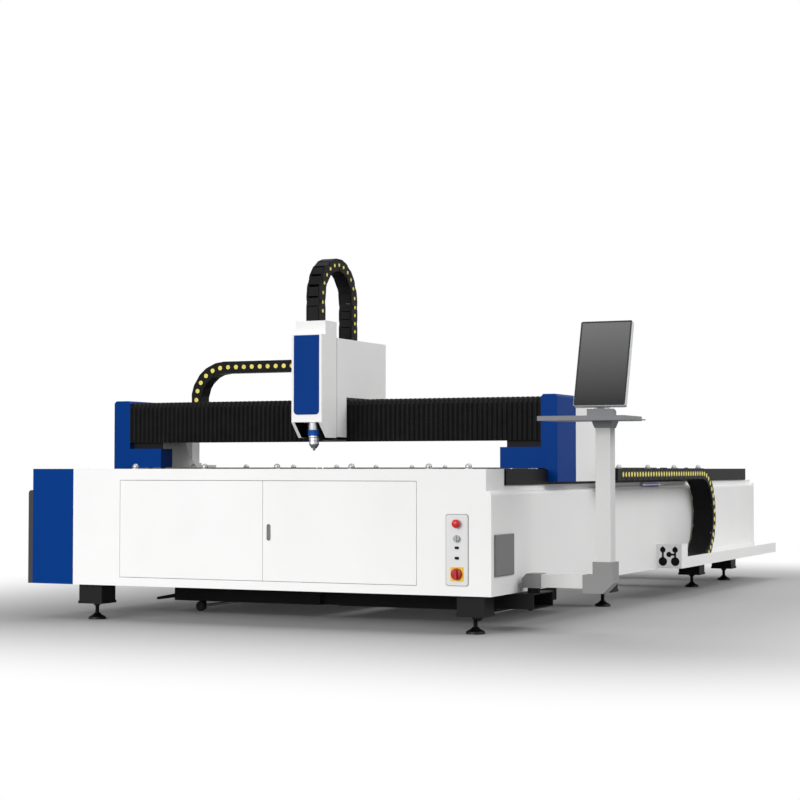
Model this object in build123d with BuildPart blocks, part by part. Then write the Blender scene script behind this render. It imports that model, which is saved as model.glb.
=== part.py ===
from build123d import *
import math
import os

# Fiber laser cutting machine with an open bed, a gantry, a cutting head and an operator console.
# Millimetres, +Z up, +X to the right along the front, +Y to the rear, origin under the middle of its box.

# General sizes
sheet = 4
running_gap = 0.3
slide_gap = 0.4
overrun = 10
round_sides = 16
corner_steps = 3

# Bed
bed_width = 2810
bed_length = 5565
bed_top = 848
body_bottom = 198
frame_inset = 30
frame_side_width = 220
frame_wall = 12
cross_member_width = 160
cross_member_height = 180
foot_shares = (0.018, 0.392, 0.758, 0.92)
foot_inset_right = 127
foot_inset_left = 373
leg_block_width = 150
leg_block_depth = 140
leg_flange_overhang = 8
leg_flange_thickness = 15
leg_bottom = 90
foot_pad_radius = 50
foot_pad_thickness = 12
foot_stem_radius = 12

# Covers of the bed
shoulder_inset = 28
shoulder_drop = 27
shoulder_radius = 24
guard_thickness = 30
guard_height = 529
guard_radius = 18
guard_rear_gap = 180
side_plate_front = 40
side_plate_depth = 260
side_plate_bottom = 298
side_plate_height = 214
side_plate_thickness = 12
side_plate_bevel = 4

# Front cabinet and doors
cabinet_depth = 255
end_cabinet_width = 275
door_margin_left = 310
door_margin_right = 414
door_bottom = 245
door_top = 786
door_gap = 2.5
door_thickness = 20
door_skin = 3
door_rim = 16
hinge_length = 60
hinge_overlap = 40
hinge_seat = 16
hinge_depth = 25
hinge_shares = (0.15, 0.85)
pull_width = 22
pull_length = 89
pull_height = 508
pull_inset = 37
pull_proud = 3
pull_lip = 3.5
pull_dish = 1.5

# Control plate
panel_width = 120
panel_height = 362
panel_bottom = 252
panel_inset = 127
panel_thickness = 4
panel_radius = 12
stop_share = 0.873
key_share = 0.663
port_shares = (0.533, 0.387)
switch_share = 0.163
stop_stem_radius = 11
stop_stem_length = 10
stop_cap_radius = 22
stop_cap_height = 20
stop_crown_share = 0.6
key_radius = 18
key_height = 14
key_grip_width = 8
key_grip_height = 6
port_width = 22
port_height = 12
port_proud = 3
switch_plate_size = 71
switch_plate_thickness = 3
switch_plate_radius = 3
switch_radius = 30
switch_height = 12
switch_grip_width = 16
switch_grip_height = 12

# Inside the front cabinet
panel_board_thickness = 5
board_margin = 30
module_depth = 90
module_height_share = 0.36
module_shares = (0.08, 0.3, 0.52, 0.74)
module_row_shares = (0.09, 0.55)
module_width_share = 0.18
source_width = 620
source_depth = 190
source_height = 180
source_inset = 90
source_vent_depth = 8

# Rails of the bed
rail_beam_width = 80
rail_beam_height = 86
rail_beam_inset = 20
rail_beam_rear_gap = 179
rail_start_gap = 7
guide_width = 25
guide_height = 30
guide_drop = 28
guide_waist = 5
rack_width = 22
rack_height = 20
rack_lift = 2
guide_end_gap = 40

# Table with slats and ball transfers
table_top = 835
table_depth = 135
table_side_width = 150
table_end_width = 80
table_ledge = 30
table_ledge_thickness = 12
ball_bar_y = 500
ball_bar_width = 80
slat_pitch = 165
slat_first = 430
slat_thickness = 4
slat_tip = 856
slat_tooth_height = 40
slat_teeth = 5
slat_end_gap = 1
ball_rear_gap = 184
ball_row_count = 8
ball_row_inset_left = 93
ball_row_inset_right = 95
ball_front_shares = (0.222, 0.445, 0.667, 0.889)
ball_cup_radius = 24
ball_cup_height = 20
ball_rim_radius = 17
ball_top_radius = 8
ball_rise = 23
ball_taper = 15
ball_sides = 8

# Small air cylinder under the right rail
air_start = 2700
air_length = 300
air_radius = 12
air_cap_radius = 10
air_cap_length = 40

# Gantry
gantry_set_back = 880
gantry_left_reach = 30
gantry_right_reach = 45
end_cover_left_width = 112
end_cover_right_width = 97
end_cover_drop = 71
end_cover_rise = 11
end_cover_bevel = 14
end_cover_depth = 310
skirt_reach_right = 243
skirt_reach_left = 223
rail_clearance = 2
skirt_height = 118
skirt_depth = 130
rear_housing_depth = 430
rear_housing_height = 1214
plate_clearance = 4
saddle_width = 215
saddle_height = 158
saddle_front_gap = 40
saddle_foot_height = 20
saddle_neck = 310
saddle_step = 490
saddle_curve_shares = ((0, 0), (0.04, 0.25), (0.15, 0.52), (0.34, 0.76), (0.62, 0.93), (1, 1))
saddle_length = 680
beam_offset = 50
beam_depth = 260
beam_height = 215
beam_wall = 10
block_length = 130
block_width = 57
block_shares = (0.06, 0.46)
block_clearance = 3
pinion_radius = 32
pinion_sides = 24
pinion_shaft_radius = 10
motor_size = 90
motor_length = 190
motor_flange = 110
motor_flange_thickness = 14
motor_set_back = 590
x_rail_depth = 25
x_rail_height = 25
x_rail_margin = 30
x_rack_height = 20
x_rail_end_gap = 50

# Bellows
pleat_pitch = 36
pleat_depth = 10
bellows_wall = 4
bellows_drop = 3
bellows_rise = 27
bellows_chamfer = 40

# Drag chains
link_pitch = 70
link_height = 72
link_gap = 0.6
link_chamfer = 11
x_chain_width = 100
x_chain_gap = 15
x_chain_radius = 200
x_chain_high = 1476
x_chain_end_gap = 475
x_chain_anchor_share = 0.5
x_tray_lip = 120
x_tray_flange = 70
x_tray_end_gap = 40
y_chain_width = 143
y_chain_gap = 12
y_chain_upper = 815
y_chain_turn = 3510
y_chain_anchor = 3100
y_bracket_length = 40
z_chain_width = 90
z_chain_front = 670
z_chain_rear = 1090
z_chain_centre = 1829

# Chain tray on the right side
chain_tray_width = 168
chain_tray_start = 2915
chain_tray_bottom = 202
chain_tray_wall = 72
rear_overhang = 10
entry_box_length = 145
entry_box_height = 157
entry_anchor = 40
entry_hole_radius = 29
entry_small_radius = 19
entry_centre_radius = 18
entry_slot_width = 14
entry_column_shares = (0.25, 0.74)
entry_row_share = 0.28
entry_top_share = 0.76
entry_centre_share = 0.57
entry_point = 27

# Carriage
carriage_offset = 62.5
carriage_width = 191
carriage_plate_gap = 5
carriage_plate_thickness = 18
carriage_plate_drop = 10
slider_length = 70
slider_height = 69
housing_front = 750
housing_rear = 1415
housing_top = 1600
housing_bottom = 1030
housing_skirt = 875
housing_beam_gap = 10
housing_chain_gap = 19
x_motor_size = 80
x_motor_length = 92
x_pinion_radius = 20
x_pinion_height = 18
base_plate_thickness = 20
base_plate_width = 145
base_plate_bottom = 1080
base_plate_top = 1540
z_rail_depth = 14
z_rail_width = 16
z_rail_inset = 15
bearing_width = 50
bearing_depth = 23
bearing_height = 20
screw_radius = 7
screw_set = 12
z_motor_size = 60
z_motor_height = 67

# Cutting head
cover_front = 554
cover_rear = 745
cover_top = 1691
cover_bottom = 1025
cover_arch = 1115
cover_leg = 15
cover_leg_flare = 28
cap_height = 79
cap_set_back = 50
panel_face_width = 160
panel_face_bottom = 1155
panel_face_top = 1606
panel_face_radius = 22
panel_face_proud = 3
head_plate_thickness = 12
head_plate_gap = 10
head_plate_bottom = 1110
head_plate_height = 300
head_slider_length = 60
head_slider_width = 34
nut_width = 44
nut_height = 50
head_y = 650
clamp_width = 100
clamp_bottom = 1130
clamp_height = 80
head_radius = 38
head_top = 1260
ring_top = 1068
ring_height = 30
ring_radius = 36
collar_height = 14
collar_radius = 33
barrel_radius = 29
barrel_bottom = 987
cone_radius = 16
cone_bottom = 966
nozzle_radius = 9
nozzle_tip_radius = 5
nozzle_tip = 952
nozzle_taper = 11

# Operator console
bracket_front = 308
bracket_depth = 300
bracket_height = 82
bracket_inner = 250
bracket_reach = 114
bracket_wall = 6
post_radius = 34
pivot_reach = 75
pivot_set_back = 420
elbow_size = 100
elbow_bottom = 225
elbow_height = 75
elbow_bevel = 26
arm_width = 70
arm_height = 68
column_reach = 470
column_size = 80
column_elbow_size = 110
column_elbow_bottom = 205
column_elbow_top = 368
column_elbow_bevel = 55
column_top = 1060
collar_flare = 8
collar_taper = 18
tray_bottom = 1096
tray_thickness = 24
tray_left = 295
tray_right = 170
tray_front = 220
tray_rear = 90
mouse_tray_reach = 230
mouse_tray_thickness = 6
mouse_tray_depth = 180
neck_width = 140
neck_depth = 40
neck_top = 1146
monitor_width = 280
monitor_height = 467
monitor_thickness = 32
monitor_bezel = 9
monitor_lean = 16.8
monitor_bottom = 1173
monitor_front = 319
monitor_radius = 8
screen_thickness = 2
hinge_radius = 12
hinge_set = 14
hinge_knuckle = 40

# Waste cart
cart_left_inset = 480
cart_length = 2060
cart_front = 760
cart_width = 980
cart_bottom = 66
cart_height = 95
cart_wall = 5
bin_gap = 120
coupling_inset = 40
coupling_width = 30
coupling_drop = 12
wheel_radius = 30
wheel_width = 28
wheel_facets = 24
wheel_inset = 140
wheel_side_inset = 56
axle_radius = 9
axle_clearance = 0.6
axle_ear_length = 36
axle_ear_width = 20
handle_reach = 145
handle_width = 900
handle_size = 14
handle_height = 92
handle_drop = 28

# Places worked out from the sizes above
front_reach = panel_thickness + stop_stem_length + stop_cap_height
console_reach = column_reach + mouse_tray_reach
right_x = (bed_width + guard_thickness - console_reach) / 2
left_x = right_x - bed_width
mid_x = (left_x + right_x) / 2
front_y = (front_reach - bed_length - rear_overhang) / 2
rear_y = front_y + bed_length

cabinet_left_x = left_x + end_cabinet_width
cabinet_rear_y = front_y + cabinet_depth
door_left_x = cabinet_left_x + door_margin_left
door_right_x = right_x - door_margin_right
door_split_x = (door_left_x + door_right_x) / 2

rail_bottom = bed_top - rail_beam_height
shoulder_height = rail_bottom - shoulder_drop
rail_front_y = cabinet_rear_y + rail_start_gap
rail_rear_y = rear_y - rail_beam_rear_gap
frame_rear_y = rear_y - sheet
guide_top = bed_top - guide_drop
guide_bottom = guide_top - guide_height
rack_bottom = rail_bottom + rack_lift

frame_left_inner = left_x + frame_inset + frame_side_width
frame_right_inner = right_x - frame_inset - frame_side_width
table_bottom = table_top - table_depth
ledge_top = table_bottom + table_ledge_thickness
table_front_y = rail_front_y
table_rear_y = rail_rear_y
table_left_inner = frame_left_inner + table_side_width
table_right_inner = frame_right_inner - table_side_width
ball_left_x = frame_left_inner + ball_row_inset_left
ball_right_x = frame_right_inner - ball_row_inset_right
ball_first_y = front_y + ball_bar_y + ball_bar_width / 2
ball_row_pitch = (table_rear_y - ball_rear_gap - ball_first_y) / (ball_row_count - 1)

gantry_y = front_y + gantry_set_back
gantry_left_x = left_x - gantry_left_reach
gantry_right_x = right_x + gantry_right_reach
beam_left_x = gantry_left_x + end_cover_left_width
beam_right_x = gantry_right_x - end_cover_right_width
beam_y = gantry_y + beam_offset
beam_rear_y = beam_y + beam_depth
saddle_bottom = bed_top + plate_clearance
beam_bottom = saddle_bottom + saddle_height
beam_top = beam_bottom + beam_height
bellows_bottom = beam_bottom - bellows_drop
bellows_top = beam_top + bellows_rise
end_cover_bottom = bed_top - end_cover_drop
end_cover_top = bellows_top + end_cover_rise
end_cover_rear_y = gantry_y + end_cover_depth
housing_rear_y = end_cover_rear_y + rear_housing_depth
saddle_front_y = gantry_y + saddle_front_gap
motor_y = gantry_y + motor_set_back
right_rail_x = right_x - rail_beam_inset - rail_beam_width
left_rail_x = left_x + rail_beam_inset + rail_beam_width
pinion_offset = rack_width + pinion_radius + slide_gap
right_pinion_x = right_rail_x - pinion_offset
left_pinion_x = left_rail_x + pinion_offset

carriage_x = mid_x + carriage_offset
carriage_left_x = carriage_x - carriage_width / 2
carriage_right_x = carriage_x + carriage_width / 2
x_rail_y = beam_y - x_rail_depth
x_rail_low = beam_bottom + x_rail_margin
x_rail_high = beam_top - x_rail_margin - x_rail_height
x_rack_bottom = (x_rail_low + x_rail_high + x_rail_height - x_rack_height) / 2
x_motor_z = x_rack_bottom - slide_gap - x_pinion_radius
plate_y = front_y + housing_skirt
plate_rear_y = plate_y + carriage_plate_thickness

x_chain_y = beam_rear_y + x_chain_gap
x_chain_low = x_chain_high - 2 * x_chain_radius
x_tray_top = x_chain_low - link_height / 2 - running_gap
left_housing_height = x_tray_top - housing_chain_gap
x_turn_x = beam_left_x + x_chain_end_gap
x_anchor_x = beam_left_x + (beam_right_x - beam_left_x) * x_chain_anchor_share
y_chain_x = right_x + y_chain_gap
y_chain_low = chain_tray_bottom + sheet + running_gap + link_height / 2
y_chain_radius = (y_chain_upper - y_chain_low) / 2
y_chain_middle = (y_chain_upper + y_chain_low) / 2
y_turn_y = front_y + y_chain_turn
y_anchor_y = front_y + y_chain_anchor
y_start_y = housing_rear_y + y_bracket_length
z_chain_radius = (z_chain_rear - z_chain_front) / 2

column_x = right_x + column_reach
column_y = front_y + pivot_set_back
pivot_x = right_x + pivot_reach
tray_top = tray_bottom + tray_thickness
lean = math.radians(monitor_lean)
panel_x = right_x - panel_inset
panel_mid_x = panel_x - panel_width / 2
cart_left_x = left_x + cart_left_inset
cart_y = front_y + cart_front
monitor_pivot_y = front_y + monitor_front + (monitor_thickness + hinge_set) * math.cos(lean)
monitor_pivot_z = monitor_bottom - (monitor_thickness + hinge_set) * math.sin(lean)

os.makedirs("parts", exist_ok=True)


def front_view(y):
    """Plane of a profile drawn in X and Z, seen from the front."""
    return Plane.XZ.offset(-y)


def side_view(x):
    """Plane of a profile drawn in Y and Z."""
    return Plane.YZ.offset(x)


def plan_view(z):
    """Plane of a profile drawn in X and Y."""
    return Plane.XY.offset(z)


def slab(x_span, y_span, z_span, mode=Mode.ADD):
    """Box between two limits along each axis."""
    spans = (x_span, y_span, z_span)
    with Locations(tuple((low + high) / 2 for low, high in spans)):
        Box(*(high - low for low, high in spans), mode=mode)


def prism(plane, points, depth, mode=Mode.ADD):
    """Closed outline, drawn on a plane and pushed along its normal."""
    with BuildSketch(plane) as outline:
        Polygon(*points, align=None)
    extrude(outline.sketch, amount=depth, mode=mode)


def disc(plane, centre, radius, depth, sides=round_sides, mode=Mode.ADD):
    """Round piece with flats, pushed along the normal of its plane."""
    with BuildSketch(plane) as outline:
        with Locations(centre):
            RegularPolygon(radius, sides)
    extrude(outline.sketch, amount=depth, mode=mode)


def tapered_disc(plane, centre, radius, depth, end_radius, taper, sides=round_sides):
    """Round piece with flats whose far end narrows to a smaller radius."""
    with BuildSketch(plane) as outline:
        with Locations(centre):
            RegularPolygon(radius, sides)
    body = extrude(outline.sketch, amount=depth, mode=Mode.PRIVATE).solid()
    far_end = body.faces().sort_by(Axis(plane.origin, plane.z_dir * math.copysign(1, depth)))[-1]
    inset = (radius - end_radius) * math.cos(math.pi / sides)
    add(body.chamfer(inset, taper, far_end.edges(), face=far_end))


def rounded_outline(centre, width, height, radius):
    """Points of a rectangle whose corners are rounded in short steps."""
    points = []
    for quarter, (side, end) in enumerate(((1, 1), (-1, 1), (-1, -1), (1, -1))):
        corner_x = centre[0] + side * (width / 2 - radius)
        corner_y = centre[1] + end * (height / 2 - radius)
        for step in range(corner_steps + 1):
            angle = math.radians(90) * (quarter + step / corner_steps)
            points.append((corner_x + radius * math.cos(angle), corner_y + radius * math.sin(angle)))
    return points


def save(piece, name):
    """Label a finished piece and write it."""
    piece.part.label = name
    export_step(piece.part, f"parts/{name}.step")


# Welded bed frame: two long box beams, cross members and the leg blocks
with BuildPart() as bed_frame:
    for outer_x, inner_x in (
        (left_x + frame_inset, frame_left_inner),
        (frame_right_inner, right_x - frame_inset),
    ):
        slab((outer_x, inner_x), (cabinet_rear_y, frame_rear_y), (body_bottom, rail_bottom))
        slab(
            (outer_x + frame_wall, inner_x - frame_wall),
            (cabinet_rear_y - overrun, frame_rear_y + overrun),
            (body_bottom + frame_wall, rail_bottom - frame_wall),
            mode=Mode.SUBTRACT,
        )
    for share in foot_shares[1:]:
        member_y = front_y + share * bed_length
        slab(
            (frame_left_inner, frame_right_inner),
            (member_y - cross_member_width / 2, member_y + cross_member_width / 2),
            (body_bottom, body_bottom + cross_member_height),
        )
        slab(
            (frame_left_inner, frame_right_inner),
            (member_y - cross_member_width / 2 + frame_wall, member_y + cross_member_width / 2 - frame_wall),
            (body_bottom + frame_wall, body_bottom + cross_member_height - frame_wall),
            mode=Mode.SUBTRACT,
        )
    flange_top = leg_bottom + leg_flange_thickness
    for share in foot_shares:
        for foot_x in (left_x + foot_inset_left, right_x - foot_inset_right):
            with Locations((foot_x, front_y + share * bed_length, flange_top)):
                Box(
                    leg_block_width,
                    leg_block_depth,
                    body_bottom - flange_top,
                    align=(Align.CENTER, Align.CENTER, Align.MIN),
                )
                Box(
                    leg_block_width + leg_flange_overhang,
                    leg_block_depth + leg_flange_overhang,
                    leg_flange_thickness,
                    align=(Align.CENTER, Align.CENTER, Align.MAX),
                )
save(bed_frame, "bed_frame")

with BuildPart() as levelling_feet:
    foot_places = [
        (foot_x, front_y + share * bed_length)
        for share in foot_shares
        for foot_x in (left_x + foot_inset_left, right_x - foot_inset_right)
    ]
    with BuildSketch():
        with Locations(*foot_places):
            RegularPolygon(foot_pad_radius, round_sides)
    extrude(amount=foot_pad_thickness)
    with BuildSketch(plan_view(foot_pad_thickness)):
        with Locations(*foot_places):
            RegularPolygon(foot_stem_radius, ball_sides)
    extrude(amount=leg_bottom - foot_pad_thickness)
save(levelling_feet, "levelling_feet")


# Front cabinet: folded shell with a shoulder at its right end and the opening for the doors
with BuildPart() as front_cabinet:
    with BuildSketch(front_view(front_y)) as cabinet_outline:
        Polygon(
            (cabinet_left_x, body_bottom),
            (right_x, body_bottom),
            (right_x, shoulder_height),
            (right_x - shoulder_inset, shoulder_height),
            (right_x - shoulder_inset, bed_top),
            (cabinet_left_x, bed_top),
            align=None,
        )
        shoulder = cabinet_outline.vertices().group_by(Axis.X)[-1].sort_by(Axis.Y)[-1]
        fillet(shoulder, shoulder_radius)
    extrude(amount=-cabinet_depth)
    slab(
        (cabinet_left_x + sheet, right_x - shoulder_inset - sheet),
        (front_y + sheet, cabinet_rear_y - sheet),
        (body_bottom + sheet, bed_top - sheet),
        mode=Mode.SUBTRACT,
    )
    slab(
        (door_left_x, door_right_x),
        (front_y - overrun, front_y + sheet),
        (door_bottom, door_top),
        mode=Mode.SUBTRACT,
    )
    bracket_y = front_y + door_thickness + running_gap
    for share in hinge_shares:
        hinge_z = door_bottom + share * (door_top - door_bottom)
        hinge_span = (hinge_z - hinge_length / 2, hinge_z + hinge_length / 2)
        for jamb_x, inward in ((door_left_x, 1), (door_right_x, -1)):
            seat = sorted((jamb_x - inward * hinge_seat, jamb_x))
            leaf = sorted((jamb_x, jamb_x + inward * hinge_overlap))
            slab(seat, (front_y + sheet, bracket_y + hinge_depth), hinge_span)
            slab(leaf, (bracket_y, bracket_y + hinge_depth), hinge_span)
save(front_cabinet, "front_cabinet")

# Blue cabinet at the left end of the front, open at the back
with BuildPart() as left_end_cabinet:
    slab((left_x, cabinet_left_x), (front_y, cabinet_rear_y), (body_bottom, bed_top))
    slab(
        (left_x + sheet, cabinet_left_x - sheet),
        (front_y + sheet, cabinet_rear_y + overrun),
        (body_bottom + sheet, bed_top - sheet),
        mode=Mode.SUBTRACT,
    )
save(left_end_cabinet, "left_end_cabinet")

# Side covers with a rounded shoulder, and the rear cover with its top fold
with BuildPart() as bed_covers:
    for wall_x, inward in ((right_x, -1), (left_x, 1)):
        fold_x = wall_x + inward * frame_inset
        inner_x = wall_x + inward * sheet
        with BuildSketch(front_view(cabinet_rear_y)) as cover_outline:
            Polygon(
                (wall_x, body_bottom),
                (wall_x, shoulder_height),
                (fold_x, shoulder_height),
                (fold_x, shoulder_height - sheet),
                (inner_x, shoulder_height - sheet),
                (inner_x, body_bottom),
                align=None,
            )
            fillet(cover_outline.vertices().sort_by_distance((wall_x, shoulder_height))[0], shoulder_radius)
            fold_corner = (inner_x, shoulder_height - sheet)
            fillet(cover_outline.vertices().sort_by_distance(fold_corner)[0], shoulder_radius - sheet)
        extrude(amount=-(frame_rear_y - cabinet_rear_y - running_gap))
    slab((left_x, right_x), (frame_rear_y, rear_y), (body_bottom, shoulder_height))
save(bed_covers, "bed_covers")

# Long grey guard on the left side with a rounded top edge
with BuildPart() as left_guard:
    with BuildSketch(front_view(front_y)) as guard_outline:
        Polygon(
            (left_x - guard_thickness, body_bottom),
            (left_x, body_bottom),
            (left_x, body_bottom + guard_height),
            (left_x - guard_thickness, body_bottom + guard_height),
            align=None,
        )
        fillet(guard_outline.vertices().group_by(Axis.X)[0].sort_by(Axis.Y)[-1], guard_radius)
    extrude(amount=-(bed_length - guard_rear_gap))
    slab(
        (left_x - guard_thickness + sheet, left_x - sheet),
        (front_y + sheet, rear_y - guard_rear_gap - sheet),
        (body_bottom - overrun, body_bottom + guard_height - guard_radius),
        mode=Mode.SUBTRACT,
    )
save(left_guard, "left_guard")

# Louvred plate on the right side
with BuildPart() as side_plate:
    side_plate_y = front_y + side_plate_front
    slab(
        (right_x, right_x + side_plate_thickness),
        (side_plate_y, side_plate_y + side_plate_depth),
        (side_plate_bottom, side_plate_bottom + side_plate_height),
    )
    chamfer(side_plate.faces().sort_by(Axis.X)[-1].edges(), side_plate_bevel)
save(side_plate, "side_plate")

# Air cylinder on the shoulder under the right rail: barrel with a turned cap at each end
with BuildPart() as side_cylinder:
    air_centre = (right_x - frame_inset + air_radius, shoulder_height + air_radius)
    air_y = front_y + air_start
    disc(front_view(air_y), air_centre, air_radius, -air_length, sides=ball_sides)
    for cap_y, depth in ((air_y, air_cap_length), (air_y + air_length, -air_cap_length)):
        disc(front_view(cap_y), air_centre, air_cap_radius, depth, sides=ball_sides)
save(side_cylinder, "side_cylinder")


# Rail beams along both sides, with the guide rails and racks on their inner faces
with BuildPart() as rail_beams:
    for beam_x in (left_x + rail_beam_inset, right_x - rail_beam_inset - rail_beam_width):
        slab((beam_x, beam_x + rail_beam_width), (rail_front_y, rail_rear_y), (rail_bottom, bed_top))
save(rail_beams, "rail_beams")

with BuildPart() as guide_rails:
    guide_front_y = rail_front_y + guide_end_gap
    guide_length = rail_rear_y - guide_end_gap - guide_front_y
    for face_x, inward in ((right_rail_x, -1), (left_rail_x, 1)):
        tip_x = face_x + inward * guide_width
        waist_x = face_x + inward * guide_width / 2
        prism(
            front_view(guide_front_y),
            [
                (face_x, guide_bottom),
                (face_x, guide_top),
                (waist_x, guide_top - guide_waist),
                (tip_x, guide_top),
                (tip_x, guide_bottom),
                (waist_x, guide_bottom + guide_waist),
            ],
            -guide_length,
        )
        slab(
            sorted((face_x, face_x + inward * rack_width)),
            (guide_front_y, guide_front_y + guide_length),
            (rack_bottom, rack_bottom + rack_height),
        )
save(guide_rails, "guide_rails")

# Table frame: ring with a ledge for the slats and a bar for the front ball transfers
with BuildPart() as table_frame:
    slab((frame_left_inner, frame_right_inner), (table_front_y, table_rear_y), (table_bottom, table_top))
    inner_y = (table_front_y + table_end_width, table_rear_y - table_end_width)
    slab((table_left_inner, table_right_inner), inner_y, (ledge_top, table_top + overrun), mode=Mode.SUBTRACT)
    slab(
        (table_left_inner + table_ledge, table_right_inner - table_ledge),
        inner_y,
        (table_bottom - overrun, table_top),
        mode=Mode.SUBTRACT,
    )
    for side_x in (frame_left_inner, table_right_inner):
        slab(
            (side_x + frame_wall, side_x + table_side_width - frame_wall),
            (table_front_y + frame_wall, table_rear_y - frame_wall),
            (table_bottom - overrun, table_top - frame_wall),
            mode=Mode.SUBTRACT,
        )
    bar_y = front_y + ball_bar_y
    slab((table_left_inner, table_right_inner), (bar_y, bar_y + ball_bar_width), (table_bottom, table_top))
save(table_frame, "table_frame")

# Toothed slats that carry the sheet
with BuildPart() as slats:
    slat_left = table_left_inner + slat_end_gap
    slat_right = table_right_inner - slat_end_gap
    tooth = (slat_right - slat_left) / slat_teeth
    slat_root = slat_tip - slat_tooth_height
    slat_outline = [(slat_left, ledge_top), (slat_right, ledge_top), (slat_right, slat_root)]
    for index in range(slat_teeth, 0, -1):
        slat_outline.append((slat_left + (index - 0.5) * tooth, slat_tip))
        slat_outline.append((slat_left + (index - 1) * tooth, slat_root))
    slat_room = table_rear_y - table_end_width - slat_thickness - front_y - slat_first
    for index in range(int(slat_room // slat_pitch) + 1):
        prism(front_view(front_y + slat_first + index * slat_pitch), slat_outline, -slat_thickness)
save(slats, "slats")

# Ball transfer units in rows along the sides and across the front
with BuildPart() as ball_transfers:
    ball_places = [
        (row_x, ball_first_y + index * ball_row_pitch)
        for row_x in (ball_left_x, ball_right_x)
        for index in range(ball_row_count)
    ]
    for share in ball_front_shares:
        ball_places.append((ball_left_x + share * (ball_right_x - ball_left_x), ball_first_y))
    with BuildSketch(plan_view(table_top)):
        with Locations(*ball_places):
            RegularPolygon(ball_cup_radius, ball_sides)
    extrude(amount=ball_cup_height)
    dome_base = plan_view(table_top + ball_cup_height)
    for place in ball_places:
        tapered_disc(dome_base, place, ball_rim_radius, ball_rise, ball_top_radius, ball_taper, sides=ball_sides)
save(ball_transfers, "ball_transfers")


# Chain tray on the right side with its entry box and the cut-outs in the end plate
with BuildPart() as chain_tray:
    tray_y = front_y + chain_tray_start
    tray_right_x = right_x + chain_tray_width
    wall_top = chain_tray_bottom + chain_tray_wall
    box_top = chain_tray_bottom + entry_box_height
    slab((right_x, tray_right_x), (tray_y, rear_y + rear_overhang), (chain_tray_bottom, wall_top))
    slab((right_x, tray_right_x), (tray_y, tray_y + entry_box_length), (wall_top, box_top))
    slab(
        (right_x + sheet, tray_right_x - sheet),
        (tray_y + sheet, rear_y + rear_overhang + overrun),
        (chain_tray_bottom + sheet, box_top + overrun),
        mode=Mode.SUBTRACT,
    )
    slab(
        (y_chain_x, y_chain_x + y_chain_width),
        (y_anchor_y - entry_anchor, y_anchor_y - link_gap),
        (chain_tray_bottom, chain_tray_bottom + sheet + link_height),
    )
    left_hole, right_hole = (right_x + share * chain_tray_width for share in entry_column_shares)
    low_z = chain_tray_bottom + entry_row_share * entry_box_height
    high_z = chain_tray_bottom + entry_top_share * entry_box_height
    centre_z = chain_tray_bottom + entry_centre_share * entry_box_height
    centre_x = (left_hole + right_hole) / 2
    with BuildSketch(front_view(tray_y)):
        with Locations((left_hole, low_z), (right_hole, low_z)):
            RegularPolygon(entry_hole_radius, round_sides)
        with Locations((left_hole, high_z), (right_hole, high_z)):
            RegularPolygon(entry_small_radius, round_sides)
        with Locations((centre_x, centre_z)):
            RegularPolygon(entry_centre_radius, round_sides)
        for hole_x in (left_hole, right_hole):
            with Locations((hole_x, (low_z + high_z) / 2)):
                Rectangle(entry_slot_width, high_z - low_z)
            Polygon(
                (hole_x - entry_small_radius, high_z),
                (hole_x + entry_small_radius, high_z),
                (hole_x, high_z + entry_point),
                align=None,
            )
        with Locations(((centre_x + right_hole) / 2, centre_z)):
            Rectangle(right_hole - centre_x, entry_slot_width)
    extrude(amount=-sheet, mode=Mode.SUBTRACT)
save(chain_tray, "chain_tray")


# Inside the front cabinet: mounting board with its drives, and the laser source
with BuildPart() as electrical_panel:
    board_left = door_left_x + board_margin
    board_right = door_split_x - board_margin
    board_rear_y = cabinet_rear_y - sheet
    board_y = board_rear_y - panel_board_thickness
    board_height = door_top - door_bottom
    slab((board_left, board_right), (board_y, board_rear_y), (door_bottom, door_top))
    for row_share in module_row_shares:
        for share in module_shares:
            module_x = board_left + share * (board_right - board_left)
            module_z = door_bottom + row_share * board_height
            slab(
                (module_x, module_x + module_width_share * (board_right - board_left)),
                (board_y - module_depth, board_y),
                (module_z, module_z + module_height_share * board_height),
            )
save(electrical_panel, "electrical_panel")

with BuildPart() as laser_source:
    source_x = door_right_x - source_inset
    source_y = cabinet_rear_y - sheet
    source_z = body_bottom + sheet
    slab(
        (source_x - source_width, source_x),
        (source_y - source_depth, source_y),
        (source_z, source_z + source_height),
    )
    chamfer(laser_source.faces().sort_by(Axis.Y)[0].edges(), source_vent_depth)
save(laser_source, "laser_source")


def door(left, right):
    """Folded door leaf with a rim round its back."""
    y_span = (front_y, front_y + door_thickness)
    slab((left, right), y_span, (door_bottom + door_gap, door_top - door_gap))
    slab(
        (left + door_rim, right - door_rim),
        (front_y + door_skin, front_y + door_thickness + overrun),
        (door_bottom + door_gap + door_rim, door_top - door_gap - door_rim),
        mode=Mode.SUBTRACT,
    )


# Doors of the front cabinet
with BuildPart() as left_door:
    door(door_left_x + door_gap, door_split_x - door_gap / 2)
save(left_door, "left_door")

with BuildPart() as right_door:
    door(door_split_x + door_gap / 2, door_right_x - door_gap)
save(right_door, "right_door")

# Flush pull: rounded frame with a dished middle
with BuildPart() as door_pull:
    pull_x = door_split_x + pull_inset
    for width, length, depth, mode in (
        (pull_width, pull_length, pull_proud, Mode.ADD),
        (pull_width - 2 * pull_lip, pull_length - 2 * pull_lip, pull_dish, Mode.SUBTRACT),
    ):
        pill = rounded_outline((pull_x, pull_height), width, length, width / 2)
        face_y = front_y if mode == Mode.ADD else front_y - pull_proud + pull_dish
        prism(front_view(face_y), pill, depth, mode=mode)
save(door_pull, "door_pull")


# Control plate with two port covers, and the controls on it
def panel_level(share):
    """Height of a place on the control plate."""
    return panel_bottom + share * panel_height


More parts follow.
